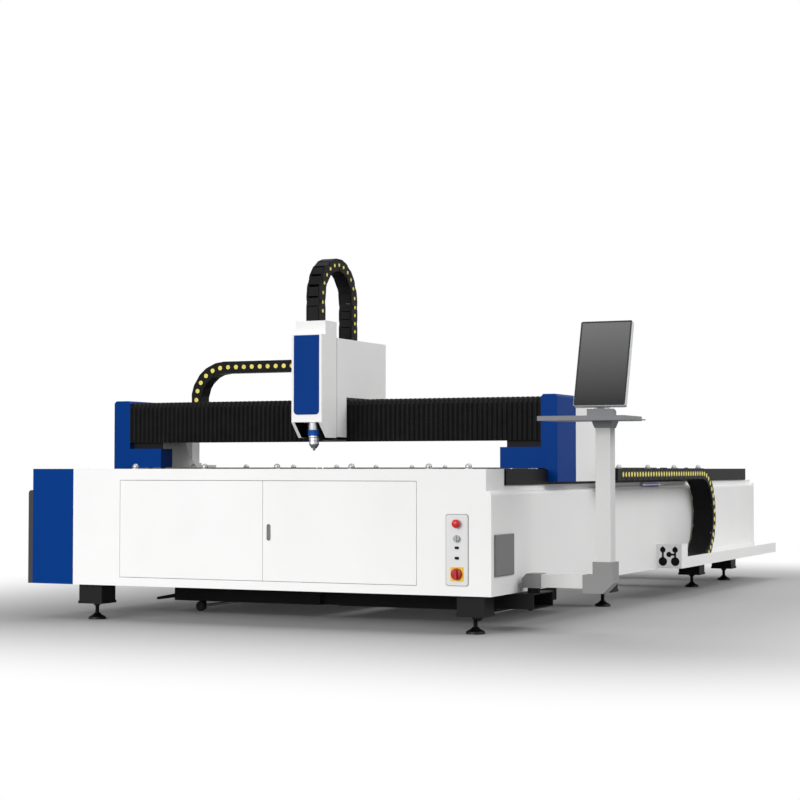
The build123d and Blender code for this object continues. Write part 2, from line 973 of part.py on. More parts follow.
panel_face_y = front_y - panel_thickness
with BuildPart() as control_plate:
    panel_centre = (panel_mid_x, panel_bottom + panel_height / 2)
    plate_outline = rounded_outline(panel_centre, panel_width, panel_height, panel_radius)
    prism(front_view(front_y), plate_outline, panel_thickness)
    stop_place = (panel_mid_x, panel_level(stop_share))
    disc(front_view(front_y), stop_place, stop_stem_radius + running_gap, panel_thickness, mode=Mode.SUBTRACT)
    for share in port_shares:
        level = panel_level(share)
        slab(
            (panel_mid_x - port_width / 2, panel_mid_x + port_width / 2),
            (panel_face_y - port_proud, panel_face_y),
            (level - port_height / 2, level + port_height / 2),
        )
save(control_plate, "control_plate")

with BuildPart() as emergency_button:
    disc(front_view(panel_face_y - running_gap), stop_place, stop_stem_radius, stop_stem_length)
    cap_y = panel_face_y - stop_stem_length
    crown = stop_cap_height * (1 - stop_crown_share)
    crown_radius = stop_cap_radius * stop_crown_share
    tapered_disc(front_view(cap_y), stop_place, stop_cap_radius, stop_cap_height, crown_radius, crown)
save(emergency_button, "emergency_button")

with BuildPart() as key_switch:
    key_place = (panel_mid_x, panel_level(key_share))
    key_y = panel_face_y - running_gap
    disc(front_view(key_y), key_place, key_radius, key_height)
    slab(
        (panel_mid_x - key_grip_width / 2, panel_mid_x + key_grip_width / 2),
        (key_y - key_height - key_grip_height, key_y - key_height),
        (key_place[1] - key_radius, key_place[1] + key_radius),
    )
save(key_switch, "key_switch")

with BuildPart() as switch_plate:
    switch_place = (panel_mid_x, panel_level(switch_share))
    switch_outline = rounded_outline(switch_place, switch_plate_size, switch_plate_size, switch_plate_radius)
    prism(front_view(panel_face_y), switch_outline, switch_plate_thickness)
save(switch_plate, "switch_plate")

with BuildPart() as main_switch:
    switch_y = panel_face_y - switch_plate_thickness - running_gap
    disc(front_view(switch_y), switch_place, switch_radius, switch_height)
    slab(
        (panel_mid_x - switch_grip_width / 2, panel_mid_x + switch_grip_width / 2),
        (switch_y - switch_height - switch_grip_height, switch_y - switch_height),
        (switch_place[1] - switch_radius, switch_place[1] + switch_radius),
    )
save(main_switch, "main_switch")


# Waste cart under the bed: open tray on two axles, with a bail handle
wheel_places = (cart_left_x + wheel_inset, cart_left_x + cart_length - wheel_inset)
wheel_sides = (cart_y + wheel_side_inset, cart_y + cart_width - wheel_side_inset)
with BuildPart() as slag_cart:
    cart_right_x = cart_left_x + cart_length
    cart_rear_y = cart_y + cart_width
    cart_top = cart_bottom + cart_height
    bin_length = (cart_length - bin_gap) / 2
    for bin_x in (cart_left_x, cart_right_x - bin_length):
        slab((bin_x, bin_x + bin_length), (cart_y, cart_rear_y), (cart_bottom, cart_top))
        slab(
            (bin_x + cart_wall, bin_x + bin_length - cart_wall),
            (cart_y + cart_wall, cart_rear_y - cart_wall),
            (cart_bottom + cart_wall, cart_top + overrun),
            mode=Mode.SUBTRACT,
        )
    for bar_y in (cart_y + coupling_inset, cart_rear_y - coupling_inset - coupling_width):
        slab(
            (cart_left_x + bin_length, cart_right_x - bin_length),
            (bar_y, bar_y + coupling_width),
            (cart_bottom, cart_top - coupling_drop),
        )
    for axle_x in wheel_places:
        for side_y, inward in ((wheel_sides[0], 1), (wheel_sides[1], -1)):
            ear = sorted((side_y + inward * wheel_width, side_y + inward * (wheel_width + axle_ear_width)))
            slab(
                (axle_x - axle_ear_length / 2, axle_x + axle_ear_length / 2),
                ear,
                (wheel_radius - axle_ear_length / 2, cart_bottom),
            )
            disc(
                front_view(ear[0]),
                (axle_x, wheel_radius),
                axle_radius + axle_clearance,
                -axle_ear_width,
                mode=Mode.SUBTRACT,
            )
    handle_mid = (cart_y + cart_rear_y) / 2
    handle_ends = (handle_mid - handle_width / 2, handle_mid + handle_width / 2)
    handle_x = cart_left_x - handle_reach
    grip_bottom = handle_height - handle_drop
    handle_arm = (
        (cart_left_x, handle_height),
        (cart_left_x, handle_height + handle_size),
        (handle_x, grip_bottom + handle_size),
        (handle_x, grip_bottom),
    )
    for end_y in handle_ends:
        prism(front_view(end_y + handle_size / 2), handle_arm, handle_size)
    slab((handle_x, handle_x + handle_size), handle_ends, (grip_bottom, grip_bottom + handle_size))
save(slag_cart, "slag_cart")


def wheel_set(axle_x):
    """Axle with a wheel outside each ear of the cart."""
    for side_y, outward in ((wheel_sides[0] + wheel_width, 1), (wheel_sides[1] - wheel_width, -1)):
        tread = front_view(side_y - outward * running_gap)
        depth = outward * (wheel_width - running_gap)
        disc(tread, (axle_x, wheel_radius), wheel_radius, depth, sides=wheel_facets)
    axle_length = wheel_sides[1] - wheel_sides[0]
    disc(front_view(wheel_sides[0]), (axle_x, wheel_radius), axle_radius, -axle_length)


with BuildPart() as front_wheels:
    wheel_set(wheel_places[0])
save(front_wheels, "front_wheels")

with BuildPart() as rear_wheels:
    wheel_set(wheel_places[1])
save(rear_wheels, "rear_wheels")


# Gantry saddles: cast feet with a curved neck up to the beam and a ledge for the drive motor
def saddle(inner_x):
    """Cast saddle that reaches to the right from its inner face."""
    foot_top = saddle_bottom + saddle_foot_height
    rear = gantry_y + saddle_length
    outline = [
        (rear, foot_top),
        (rear, saddle_bottom),
        (saddle_front_y, saddle_bottom),
        (saddle_front_y, beam_bottom),
    ]
    for run_share, drop_share in saddle_curve_shares:
        curve_y = gantry_y + saddle_neck + run_share * (saddle_step - saddle_neck)
        outline.append((curve_y, beam_bottom - drop_share * (beam_bottom - foot_top)))
    prism(side_view(inner_x), outline, saddle_width)


saddle_right_x = beam_right_x - running_gap
saddle_left_x = beam_left_x + running_gap
with BuildPart() as gantry_saddles:
    for inner_x in (saddle_right_x - saddle_width, saddle_left_x):
        saddle(inner_x)
    for hole_x in (left_pinion_x, right_pinion_x):
        disc(
            plan_view(saddle_bottom),
            (hole_x, motor_y),
            pinion_shaft_radius + slide_gap,
            saddle_foot_height,
            mode=Mode.SUBTRACT,
        )
save(gantry_saddles, "gantry_saddles")

# Guide blocks that carry the saddles on the bed's rails
with BuildPart() as guide_blocks:
    for face_x, inward in ((right_rail_x, -1), (left_rail_x, 1)):
        near_x = face_x + inward * block_clearance
        far_x = near_x + inward * block_width
        channel = sorted((face_x, face_x + inward * (guide_width + slide_gap)))
        for share in block_shares:
            block_y = saddle_front_y + share * saddle_length
            block_span = (block_y, block_y + block_length)
            slab(sorted((near_x, far_x)), block_span, (guide_bottom - block_clearance, saddle_bottom))
            slab(
                channel,
                (block_y - overrun, block_y + block_length + overrun),
                (guide_bottom - slide_gap, guide_top + slide_gap),
                mode=Mode.SUBTRACT,
            )
save(guide_blocks, "guide_blocks")

# Drive motors on the saddle ledges and the pinions that run on the racks
motor_bottom = saddle_bottom + saddle_foot_height
with BuildPart() as y_motors:
    for motor_x in (left_pinion_x, right_pinion_x):
        with Locations((motor_x, motor_y, motor_bottom)):
            standing = (Align.CENTER, Align.CENTER, Align.MIN)
            Box(motor_flange, motor_flange, motor_flange_thickness, align=standing)
            Box(motor_size, motor_size, motor_length, align=standing)
save(y_motors, "y_motors")


def pinion(gear_x):
    """Pinion on its shaft under a drive motor."""
    disc(plan_view(rack_bottom), (gear_x, motor_y), pinion_radius, rack_height, sides=pinion_sides)
    shaft_bottom = rack_bottom + rack_height
    shaft_length = motor_bottom - running_gap - shaft_bottom
    disc(plan_view(shaft_bottom), (gear_x, motor_y), pinion_shaft_radius, shaft_length)


with BuildPart() as left_pinion:
    pinion(left_pinion_x)
save(left_pinion, "left_pinion")

with BuildPart() as right_pinion:
    pinion(right_pinion_x)
save(right_pinion, "right_pinion")

# Box beam across the bed with the guide rails and rack for the carriage
with BuildPart() as gantry_beam:
    slab((beam_left_x, beam_right_x), (beam_y, beam_rear_y), (beam_bottom, beam_top))
    slab(
        (beam_left_x - overrun, beam_right_x + overrun),
        (beam_y + beam_wall, beam_rear_y - beam_wall),
        (beam_bottom + beam_wall, beam_top - beam_wall),
        mode=Mode.SUBTRACT,
    )
save(gantry_beam, "gantry_beam")

with BuildPart() as x_guide_rails:
    rail_span = (beam_left_x + x_rail_end_gap, beam_right_x - x_rail_end_gap)
    for rail_z in (x_rail_low, x_rail_high):
        slab(rail_span, (x_rail_y, beam_y), (rail_z, rail_z + x_rail_height))
    slab(rail_span, (x_rail_y, beam_y), (x_rack_bottom, x_rack_bottom + x_rack_height))
save(x_guide_rails, "x_guide_rails")


def end_cover(outer_x, rail_edge_x, inner_x, skirt_x):
    """Blue sheet cover of one gantry end: a tall column with a low skirt in front of the saddle."""
    inward = 1 if skirt_x > outer_x else -1
    skirt_top = saddle_bottom + skirt_height
    prism(
        front_view(gantry_y),
        [
            (outer_x, end_cover_bottom),
            (rail_edge_x, end_cover_bottom),
            (rail_edge_x, saddle_bottom),
            (inner_x, saddle_bottom),
            (inner_x, end_cover_top - end_cover_bevel),
            (inner_x - inward * end_cover_bevel, end_cover_top),
            (outer_x + inward * end_cover_bevel, end_cover_top),
            (outer_x, end_cover_top - end_cover_bevel),
        ],
        -end_cover_depth,
    )
    slab(
        sorted((outer_x + inward * sheet, inner_x - inward * sheet)),
        (gantry_y + sheet, end_cover_rear_y + overrun),
        (saddle_bottom + sheet, end_cover_top - end_cover_bevel - sheet),
        mode=Mode.SUBTRACT,
    )
    slab(
        sorted((outer_x + inward * sheet, rail_edge_x - inward * sheet)),
        (gantry_y + sheet, end_cover_rear_y + overrun),
        (end_cover_bottom + sheet, saddle_bottom + overrun),
        mode=Mode.SUBTRACT,
    )
    slab(sorted((inner_x, skirt_x)), (gantry_y, gantry_y + sheet), (saddle_bottom, skirt_top))
    slab(
        sorted((skirt_x, skirt_x - inward * sheet)),
        (gantry_y, gantry_y + skirt_depth),
        (saddle_bottom, skirt_top),
    )


with BuildPart() as end_covers:
    right_edge_x = right_x - rail_beam_inset + rail_clearance
    left_edge_x = left_x + rail_beam_inset - rail_clearance
    end_cover(gantry_right_x, right_edge_x, beam_right_x, beam_right_x - skirt_reach_right)
    end_cover(gantry_left_x, left_edge_x, beam_left_x, beam_left_x + skirt_reach_left)
save(end_covers, "end_covers")

# White housings behind the end covers
with BuildPart() as rear_housings:
    for outer_x, rail_edge_x, inner_x, inward, top in (
        (gantry_right_x, right_edge_x, beam_right_x, -1, rear_housing_height),
        (gantry_left_x, left_edge_x, beam_left_x, 1, left_housing_height),
    ):
        prism(
            front_view(end_cover_rear_y),
            [
                (outer_x, end_cover_bottom),
                (rail_edge_x, end_cover_bottom),
                (rail_edge_x, saddle_bottom),
                (inner_x, saddle_bottom),
                (inner_x, top),
                (outer_x + inward * end_cover_bevel, top),
                (outer_x, top - end_cover_bevel),
            ],
            -rear_housing_depth,
        )
        slab(
            sorted((outer_x + inward * sheet, inner_x - inward * sheet)),
            (end_cover_rear_y - overrun, housing_rear_y - sheet),
            (saddle_bottom + sheet, top - end_cover_bevel - sheet),
            mode=Mode.SUBTRACT,
        )
save(rear_housings, "rear_housings")


def pleated_cover(start_x, end_x):
    """Folded bellows over the front and top of the beam, ridge and valley in turn."""
    folds = 2 * max(1, round((end_x - start_x) / pleat_pitch))
    sections = []
    for index in range(folds + 1):
        inset = pleat_depth * (index % 2)
        with BuildSketch(side_view(start_x + index * (end_x - start_x) / folds)) as section:
            Polygon(
                (gantry_y + inset, bellows_bottom),
                (beam_rear_y, bellows_bottom),
                (beam_rear_y, bellows_top - inset),
                (gantry_y + bellows_chamfer, bellows_top - inset),
                (gantry_y + inset, bellows_top - bellows_chamfer),
                align=None,
            )
        sections.append(section.sketch)
    loft(sections, ruled=True)


def bellows_inside(start_x, end_x):
    """Room for the beam and its rails inside the bellows."""
    skin = pleat_depth + bellows_wall
    corner = gantry_y + bellows_chamfer
    prism(
        side_view(start_x - overrun),
        [
            (gantry_y + skin, bellows_bottom - overrun),
            (beam_rear_y + overrun, bellows_bottom - overrun),
            (beam_rear_y + overrun, bellows_top - skin),
            (corner + bellows_wall, bellows_top - skin),
            (gantry_y + skin, bellows_top - bellows_chamfer - bellows_wall),
        ],
        end_x - start_x + 2 * overrun,
        mode=Mode.SUBTRACT,
    )


# Bellows on both sides of the carriage
with BuildPart() as bellows:
    pleated_cover(beam_left_x, carriage_left_x)
    pleated_cover(carriage_right_x, beam_right_x)
    bellows_inside(beam_left_x, beam_right_x)
save(bellows, "bellows")


# Drag chains: every link is a separate block with bevelled corners
def chain_links(plane, width, place, length):
    """Row of links along a path, where place turns a distance and a height into a point."""
    count = max(1, round(length / link_pitch))
    pitch = length / count
    half = link_height / 2
    with BuildSketch(plane) as outlines:
        for index in range(count):
            start = index * pitch + link_gap / 2
            end = (index + 1) * pitch - link_gap / 2
            Polygon(
                place(start + link_chamfer, -half),
                place(end - link_chamfer, -half),
                place(end, -half + link_chamfer),
                place(end, half - link_chamfer),
                place(end - link_chamfer, half),
                place(start + link_chamfer, half),
                place(start, half - link_chamfer),
                place(start, -half + link_chamfer),
                align=None,
            )
    extrude(outlines.sketch, amount=width)


def straight_path(start, direction):
    """Path along a straight line in a profile plane."""
    across = (-direction[1], direction[0])
    return lambda s, h: tuple(o + s * d + h * a for o, d, a in zip(start, direction, across))


def arc_path(centre, radius, start_angle):
    """Path along an arc that turns to the left."""
    def place(s, h):
        angle = start_angle + s / radius
        reach = radius - h
        return (centre[0] + reach * math.cos(angle), centre[1] + reach * math.sin(angle))
    return place


# Brackets of the two long chains on the gantry
with BuildPart() as chain_brackets:
    tray_span = (beam_left_x + x_tray_end_gap, x_anchor_x + x_tray_end_gap)
    slab(tray_span, (beam_rear_y, beam_rear_y + x_tray_lip), (x_tray_top - sheet, x_tray_top))
    slab(tray_span, (beam_rear_y, beam_rear_y + sheet), (x_tray_top, x_tray_top + x_tray_flange))
    slab(
        (x_anchor_x, x_anchor_x + x_tray_end_gap),
        (x_chain_y, x_chain_y + x_chain_width),
        (x_tray_top, x_tray_top + link_height),
    )
    slab(
        (y_chain_x, y_chain_x + y_chain_width),
        (housing_rear_y, y_start_y),
        (y_chain_upper - link_height / 2, y_chain_upper + link_height / 2),
    )
save(chain_brackets, "chain_brackets")

# Chain along the bed
with BuildPart() as y_chain_runs:
    long_plane = side_view(y_chain_x)
    for start, level in ((y_start_y, y_chain_upper), (y_anchor_y, y_chain_low)):
        run = straight_path((start, level), (1, 0))
        chain_links(long_plane, y_chain_width, run, y_turn_y - start)
save(y_chain_runs, "y_chain_runs")

with BuildPart() as y_chain_loop:
    turn_centre = (y_turn_y, y_chain_middle)
    loop_path = arc_path(turn_centre, y_chain_radius, -math.pi / 2)
    chain_links(side_view(y_chain_x), y_chain_width, loop_path, math.pi * y_chain_radius)
save(y_chain_loop, "y_chain_loop")

# Chain across the beam
with BuildPart() as x_chain_runs:
    cross_plane = front_view(x_chain_y)
    for end, level in ((carriage_left_x, x_chain_high), (x_anchor_x, x_chain_low)):
        run = straight_path((x_turn_x, level), (1, 0))
        chain_links(cross_plane, -x_chain_width, run, end - x_turn_x)
save(x_chain_runs, "x_chain_runs")

with BuildPart() as x_chain_loop:
    loop_path = arc_path((x_turn_x, x_chain_low + x_chain_radius), x_chain_radius, math.pi / 2)
    chain_links(front_view(x_chain_y), -x_chain_width, loop_path, math.pi * x_chain_radius)
save(x_chain_loop, "x_chain_loop")

# Chain from the carriage housing over to the cutting head
with BuildPart() as z_chain:
    lift_plane = side_view(carriage_x - z_chain_width / 2)
    rear_leg = straight_path((front_y + z_chain_rear, housing_top), (0, 1))
    chain_links(lift_plane, z_chain_width, rear_leg, z_chain_centre - housing_top)
    arch_centre = (front_y + (z_chain_front + z_chain_rear) / 2, z_chain_centre)
    chain_links(lift_plane, z_chain_width, arc_path(arch_centre, z_chain_radius, 0), math.pi * z_chain_radius)
    front_leg = straight_path((front_y + z_chain_front, cover_top), (0, 1))
    chain_links(lift_plane, z_chain_width, front_leg, z_chain_centre - cover_top)
save(z_chain, "z_chain")


# Carriage plate with slider blocks on the beam's rails and a flange for each bellows
with BuildPart() as carriage_plate:
    plate_span = (carriage_left_x + sheet, carriage_right_x - sheet)
    plate_levels = (beam_bottom + carriage_plate_drop, beam_top + carriage_plate_drop)
    slab(plate_span, (plate_y, plate_rear_y), plate_levels)
    slider_margin = (slider_height - x_rail_height) / 2
    for rail_z in (x_rail_low, x_rail_high):
        for start_x in (plate_span[0], plate_span[1] - slider_length):
            slab(
                (start_x, start_x + slider_length),
                (plate_rear_y, beam_y - block_clearance),
                (rail_z - slider_margin, rail_z + x_rail_height + slider_margin),
            )
    for rail_z in (x_rail_low, x_rail_high):
        slab(
            (plate_span[0] - overrun, plate_span[1] + overrun),
            (x_rail_y - slide_gap, beam_y),
            (rail_z - slide_gap, rail_z + x_rail_height + slide_gap),
            mode=Mode.SUBTRACT,
        )
    disc(
        front_view(plate_rear_y),
        (carriage_x, x_motor_z),
        pinion_shaft_radius + slide_gap,
        carriage_plate_thickness,
        mode=Mode.SUBTRACT,
    )
    skin = pleat_depth + bellows_wall
    for flange_x in (carriage_left_x, carriage_right_x - sheet):
        prism(
            side_view(flange_x),
            [
                (gantry_y - carriage_plate_gap, bellows_bottom),
                (gantry_y + skin, bellows_bottom),
                (gantry_y + skin, bellows_top - bellows_chamfer - bellows_wall),
                (gantry_y + bellows_chamfer + bellows_wall, bellows_top - skin),
                (beam_rear_y, bellows_top - skin),
                (beam_rear_y, bellows_top),
                (gantry_y - carriage_plate_gap, bellows_top),
            ],
            sheet,
        )
save(carriage_plate, "carriage_plate")

# Housing of the carriage: hood over the beam with a skirt in front of it
hood_level = bellows_top + housing_beam_gap
with BuildPart() as carriage_housing:
    hood_front = front_y + housing_front
    hood_rear = front_y + housing_rear
    with BuildSketch(side_view(carriage_left_x)):
        Polygon(
            (hood_front, housing_bottom),
            (plate_y, housing_bottom),
            (plate_y, hood_level),
            (hood_rear, hood_level),
            (hood_rear, housing_top),
            (hood_front, housing_top),
            align=None,
        )
    extrude(amount=carriage_width)
    prism(
        side_view(carriage_left_x + sheet),
        [
            (hood_front + sheet, housing_bottom - overrun),
            (plate_y + overrun, housing_bottom - overrun),
            (plate_y + overrun, hood_level - overrun),
            (hood_rear - sheet, hood_level - overrun),
            (hood_rear - sheet, housing_top - sheet),
            (hood_front + sheet, housing_top - sheet),
        ],
        carriage_width - 2 * sheet,
        mode=Mode.SUBTRACT,
    )
save(carriage_housing, "carriage_housing")

# Drive motor of the carriage in its skirt, and the lift motor on top of the base plate
base_rear_y = front_y + housing_front
base_y = base_rear_y - base_plate_thickness
z_rail_y = base_y - z_rail_depth
screw_y = base_y - screw_set
with BuildPart() as carriage_motors:
    motor_front_y = plate_y - x_motor_length
    slab(
        (carriage_x - x_motor_size / 2, carriage_x + x_motor_size / 2),
        (motor_front_y, plate_y),
        (x_motor_z - x_motor_size / 2, x_motor_z + x_motor_size / 2),
    )
    with Locations((carriage_x, screw_y, base_plate_top)):
        Box(z_motor_size, z_motor_size, z_motor_height, align=(Align.CENTER, Align.CENTER, Align.MIN))
save(carriage_motors, "carriage_motors")

with BuildPart() as x_pinion:
    gear_y = x_rail_y
    disc(front_view(gear_y), (carriage_x, x_motor_z), x_pinion_radius, -x_pinion_height)
    disc(front_view(gear_y), (carriage_x, x_motor_z), pinion_shaft_radius, gear_y - plate_y - running_gap)
save(x_pinion, "x_pinion")

# Lift base plate with its rails and the two bearing blocks of the screw
with BuildPart() as z_base_plate:
    base_left = carriage_x - base_plate_width / 2
    base_right = carriage_x + base_plate_width / 2
    slab((base_left, base_right), (base_y, base_rear_y), (base_plate_bottom, base_plate_top))
    for rail_x in (base_left + z_rail_inset, base_right - z_rail_inset):
        slab(
            (rail_x - z_rail_width / 2, rail_x + z_rail_width / 2),
            (z_rail_y, base_y),
            (base_plate_bottom, base_plate_top),
        )
    for bearing_z in (base_plate_bottom, base_plate_top - bearing_height):
        slab(
            (carriage_x - bearing_width / 2, carriage_x + bearing_width / 2),
            (base_y - bearing_depth, base_y),
            (bearing_z, bearing_z + bearing_height),
        )
    screw_room = base_plate_top - base_plate_bottom
    disc(
        plan_view(base_plate_bottom),
        (carriage_x, screw_y),
        screw_radius + slide_gap,
        screw_room,
        mode=Mode.SUBTRACT,
    )
save(z_base_plate, "z_base_plate")

with BuildPart() as z_screw:
    disc(plan_view(base_plate_bottom), (carriage_x, screw_y), screw_radius, screw_room - running_gap)
save(z_screw, "z_screw")


# Moving head plate with sliders on the lift rails, the screw's nut and the clamp of the cutting head
with BuildPart() as head_plate:
    face_rear_y = z_rail_y - head_plate_gap
    face_y = face_rear_y - head_plate_thickness
    slab(
        (carriage_left_x + sheet, carriage_right_x - sheet),
        (face_y, face_rear_y),
        (head_plate_bottom, head_plate_bottom + head_plate_height),
    )
    for rail_x in (base_left + z_rail_inset, base_right - z_rail_inset):
        for slider_z in (head_plate_bottom, head_plate_bottom + head_plate_height - head_slider_length):
            slab(
                (rail_x - head_slider_width / 2, rail_x + head_slider_width / 2),
                (face_rear_y, base_y - block_clearance),
                (slider_z, slider_z + head_slider_length),
            )
        slab(
            (rail_x - z_rail_width / 2 - slide_gap, rail_x + z_rail_width / 2 + slide_gap),
            (z_rail_y - slide_gap, base_y),
            (head_plate_bottom - overrun, head_plate_bottom + head_plate_height + overrun),
            mode=Mode.SUBTRACT,
        )
    nut_z = head_plate_bottom + head_plate_height / 2
    slab(
        (carriage_x - nut_width / 2, carriage_x + nut_width / 2),
        (face_rear_y, base_y - block_clearance),
        (nut_z, nut_z + nut_height),
    )
    disc(
        plan_view(nut_z - overrun),
        (carriage_x, screw_y),
        screw_radius + slide_gap,
        nut_height + 2 * overrun,
        mode=Mode.SUBTRACT,
    )
    slab(
        (carriage_x - clamp_width / 2, carriage_x + clamp_width / 2),
        (front_y + head_y - clamp_width / 2, face_y),
        (clamp_bottom, clamp_bottom + clamp_height),
    )
    disc(
        plan_view(clamp_bottom),
        (carriage_x, front_y + head_y),
        head_radius,
        clamp_height,
        mode=Mode.SUBTRACT,
    )
save(head_plate, "head_plate")

# Front cover of the cutting head with an arched opening at the bottom
with BuildPart() as front_cover:
    cover_y = front_y + cover_front
    cover_rear_y = front_y + cover_rear
    cap_y = cover_y + cap_set_back
    cap_bottom = cover_top - cap_height
    prism(
        side_view(carriage_left_x),
        [
            (cover_y, cover_bottom),
            (cover_rear_y, cover_bottom),
            (cover_rear_y, cover_top),
            (cap_y, cover_top),
            (cap_y, cap_bottom),
            (cover_y, cap_bottom),
        ],
        carriage_width,
    )
    prism(
        side_view(carriage_left_x + sheet),
        [
            (cover_y + sheet, cover_bottom - overrun),
            (cover_rear_y + overrun, cover_bottom - overrun),
            (cover_rear_y + overrun, cover_top - sheet),
            (cap_y + sheet, cover_top - sheet),
            (cap_y + sheet, cap_bottom - sheet),
            (cover_y + sheet, cap_bottom - sheet),
        ],
        carriage_width - 2 * sheet,
        mode=Mode.SUBTRACT,
    )
    prism(
        front_view(cover_y - overrun),
        [
            (carriage_left_x + cover_leg, cover_bottom - overrun),
            (carriage_right_x - cover_leg, cover_bottom - overrun),
            (carriage_right_x - cover_leg, cover_bottom),
            (carriage_right_x - cover_leg - cover_leg_flare, cover_arch),
            (carriage_left_x + cover_leg + cover_leg_flare, cover_arch),
            (carriage_left_x + cover_leg, cover_bottom),
        ],
        -(sheet + overrun),
        mode=Mode.SUBTRACT,
    )
save(front_cover, "front_cover")

with BuildPart() as head_panel:
    panel_length = panel_face_top - panel_face_bottom
    panel_middle = (carriage_x, (panel_face_bottom + panel_face_top) / 2)
    face_outline = rounded_outline(panel_middle, panel_face_width, panel_length, panel_face_radius)
    upper_edge = [
        (carriage_x + panel_face_width / 2, panel_face_top),
        (carriage_x - panel_face_width / 2, panel_face_top),
    ]
    lower_edge = [point for point in face_outline if point[1] < panel_middle[1]]
    prism(front_view(cover_y), upper_edge + lower_edge, panel_face_proud)
save(head_panel, "head_panel")

# Cutting head: clamped body, barrel, cone and nozzle, with a sensor ring round its waist
head_centre = (carriage_x, front_y + head_y)
ring_bottom = ring_top - ring_height
with BuildPart() as cutting_head:
    disc(plan_view(ring_top), head_centre, head_radius, head_top - ring_top)
    disc(plan_view(ring_bottom - collar_height), head_centre, collar_radius, collar_height)
    barrel_top = plan_view(ring_top)
    cone_height = barrel_bottom - cone_bottom
    tapered_disc(barrel_top, head_centre, barrel_radius, cone_bottom - ring_top, cone_radius, cone_height)
    nozzle_top = plan_view(cone_bottom)
    nozzle_depth = nozzle_tip - cone_bottom
    tapered_disc(nozzle_top, head_centre, nozzle_radius, nozzle_depth, nozzle_tip_radius, nozzle_taper)
save(cutting_head, "cutting_head")

with BuildPart() as sensor_ring:
    disc(plan_view(ring_bottom), head_centre, ring_radius, ring_height)
    disc(plan_view(ring_bottom), head_centre, barrel_radius, ring_height, mode=Mode.SUBTRACT)
save(sensor_ring, "sensor_ring")


# Console bracket: rectangular tube under the bed with the pivot post on its end
bracket_top = elbow_bottom - running_gap
with BuildPart() as console_bracket:
    tube_y = front_y + bracket_front
    tube_bottom = body_bottom - bracket_height
    tube_end = right_x + bracket_reach
    slab((right_x - bracket_inner, tube_end), (tube_y, tube_y + bracket_depth), (tube_bottom, body_bottom))
    slab(
        (right_x - bracket_inner - overrun, tube_end + overrun),
        (tube_y + bracket_wall, tube_y + bracket_depth - bracket_wall),
        (tube_bottom + bracket_wall, body_bottom - bracket_wall),
        mode=Mode.SUBTRACT,
    )
    disc(plan_view(body_bottom), (pivot_x, column_y), post_radius, bracket_top - body_bottom)
save(console_bracket, "console_bracket")

# Swinging arm: two grey elbows, the arm tube and the column
with BuildPart() as arm_elbows:
    elbow_top = elbow_bottom + elbow_height
    elbow_left = pivot_x - elbow_size / 2
    elbow_right = pivot_x + elbow_size / 2
    prism(
        front_view(column_y - elbow_size / 2),
        [
            (elbow_left, elbow_bottom),
            (elbow_right, elbow_bottom),
            (elbow_right, elbow_top),
            (elbow_left + elbow_bevel, elbow_top),
            (elbow_left, elbow_top - elbow_bevel),
        ],
        -elbow_size,
    )
    corner_left = column_x - column_elbow_size / 2
    corner_right = column_x + column_elbow_size / 2
    prism(
        front_view(column_y - elbow_size / 2),
        [
            (corner_left, column_elbow_bottom),
            (corner_right - column_elbow_bevel, column_elbow_bottom),
            (corner_right, column_elbow_bottom + column_elbow_bevel),
            (corner_right, column_elbow_top),
            (corner_left, column_elbow_top),
        ],
        -elbow_size,
    )
    foot_left = corner_left - column_elbow_bevel
    slab(
        (foot_left, corner_left),
        (column_y - elbow_size / 2, column_y + elbow_size / 2),
        (column_elbow_bottom, elbow_top),
    )
save(arm_elbows, "arm_elbows")

with BuildPart() as arm_tubes:
    arm_middle = elbow_bottom + elbow_height / 2
    slab(
        (elbow_right, foot_left),
        (column_y - arm_width / 2, column_y + arm_width / 2),
        (arm_middle - arm_height / 2, arm_middle + arm_height / 2),
    )
    slab(
        (column_x - column_size / 2, column_x + column_size / 2),
        (column_y - column_size / 2, column_y + column_size / 2),
        (column_elbow_top, column_top),
    )
save(arm_tubes, "arm_tubes")

# Keyboard tray on its collar, with the mouse shelf and the neck of the monitor
with BuildPart() as console_tray:
    with BuildSketch(plan_view(column_top)):
        with Locations((column_x, column_y)):
            Rectangle(column_size + collar_flare, column_size + collar_flare)
    extrude(amount=tray_bottom - column_top, taper=-collar_taper)
    slab(
        (column_x - tray_left, column_x + tray_right),
        (column_y - tray_front, column_y + tray_rear),
        (tray_bottom, tray_top),
    )
    slab(
        (column_x + tray_right, column_x + mouse_tray_reach),
        (column_y - tray_front, column_y - tray_front + mouse_tray_depth),
        (tray_bottom, tray_bottom + mouse_tray_thickness),
    )
    slab(
        (column_x - neck_width / 2, column_x + neck_width / 2),
        (monitor_pivot_y - neck_depth / 2, monitor_pivot_y + neck_depth / 2),
        (tray_top, neck_top),
    )
    with BuildSketch(side_view(column_x - hinge_knuckle / 2)):
        Polygon(
            (monitor_pivot_y - hinge_radius, neck_top),
            (monitor_pivot_y + hinge_radius, neck_top),
            (monitor_pivot_y + hinge_radius, monitor_pivot_z),
            (monitor_pivot_y - hinge_radius, monitor_pivot_z),
            align=None,
        )
        with Locations((monitor_pivot_y, monitor_pivot_z)):
            RegularPolygon(hinge_radius, round_sides)
    extrude(amount=hinge_knuckle)
save(console_tray, "console_tray")

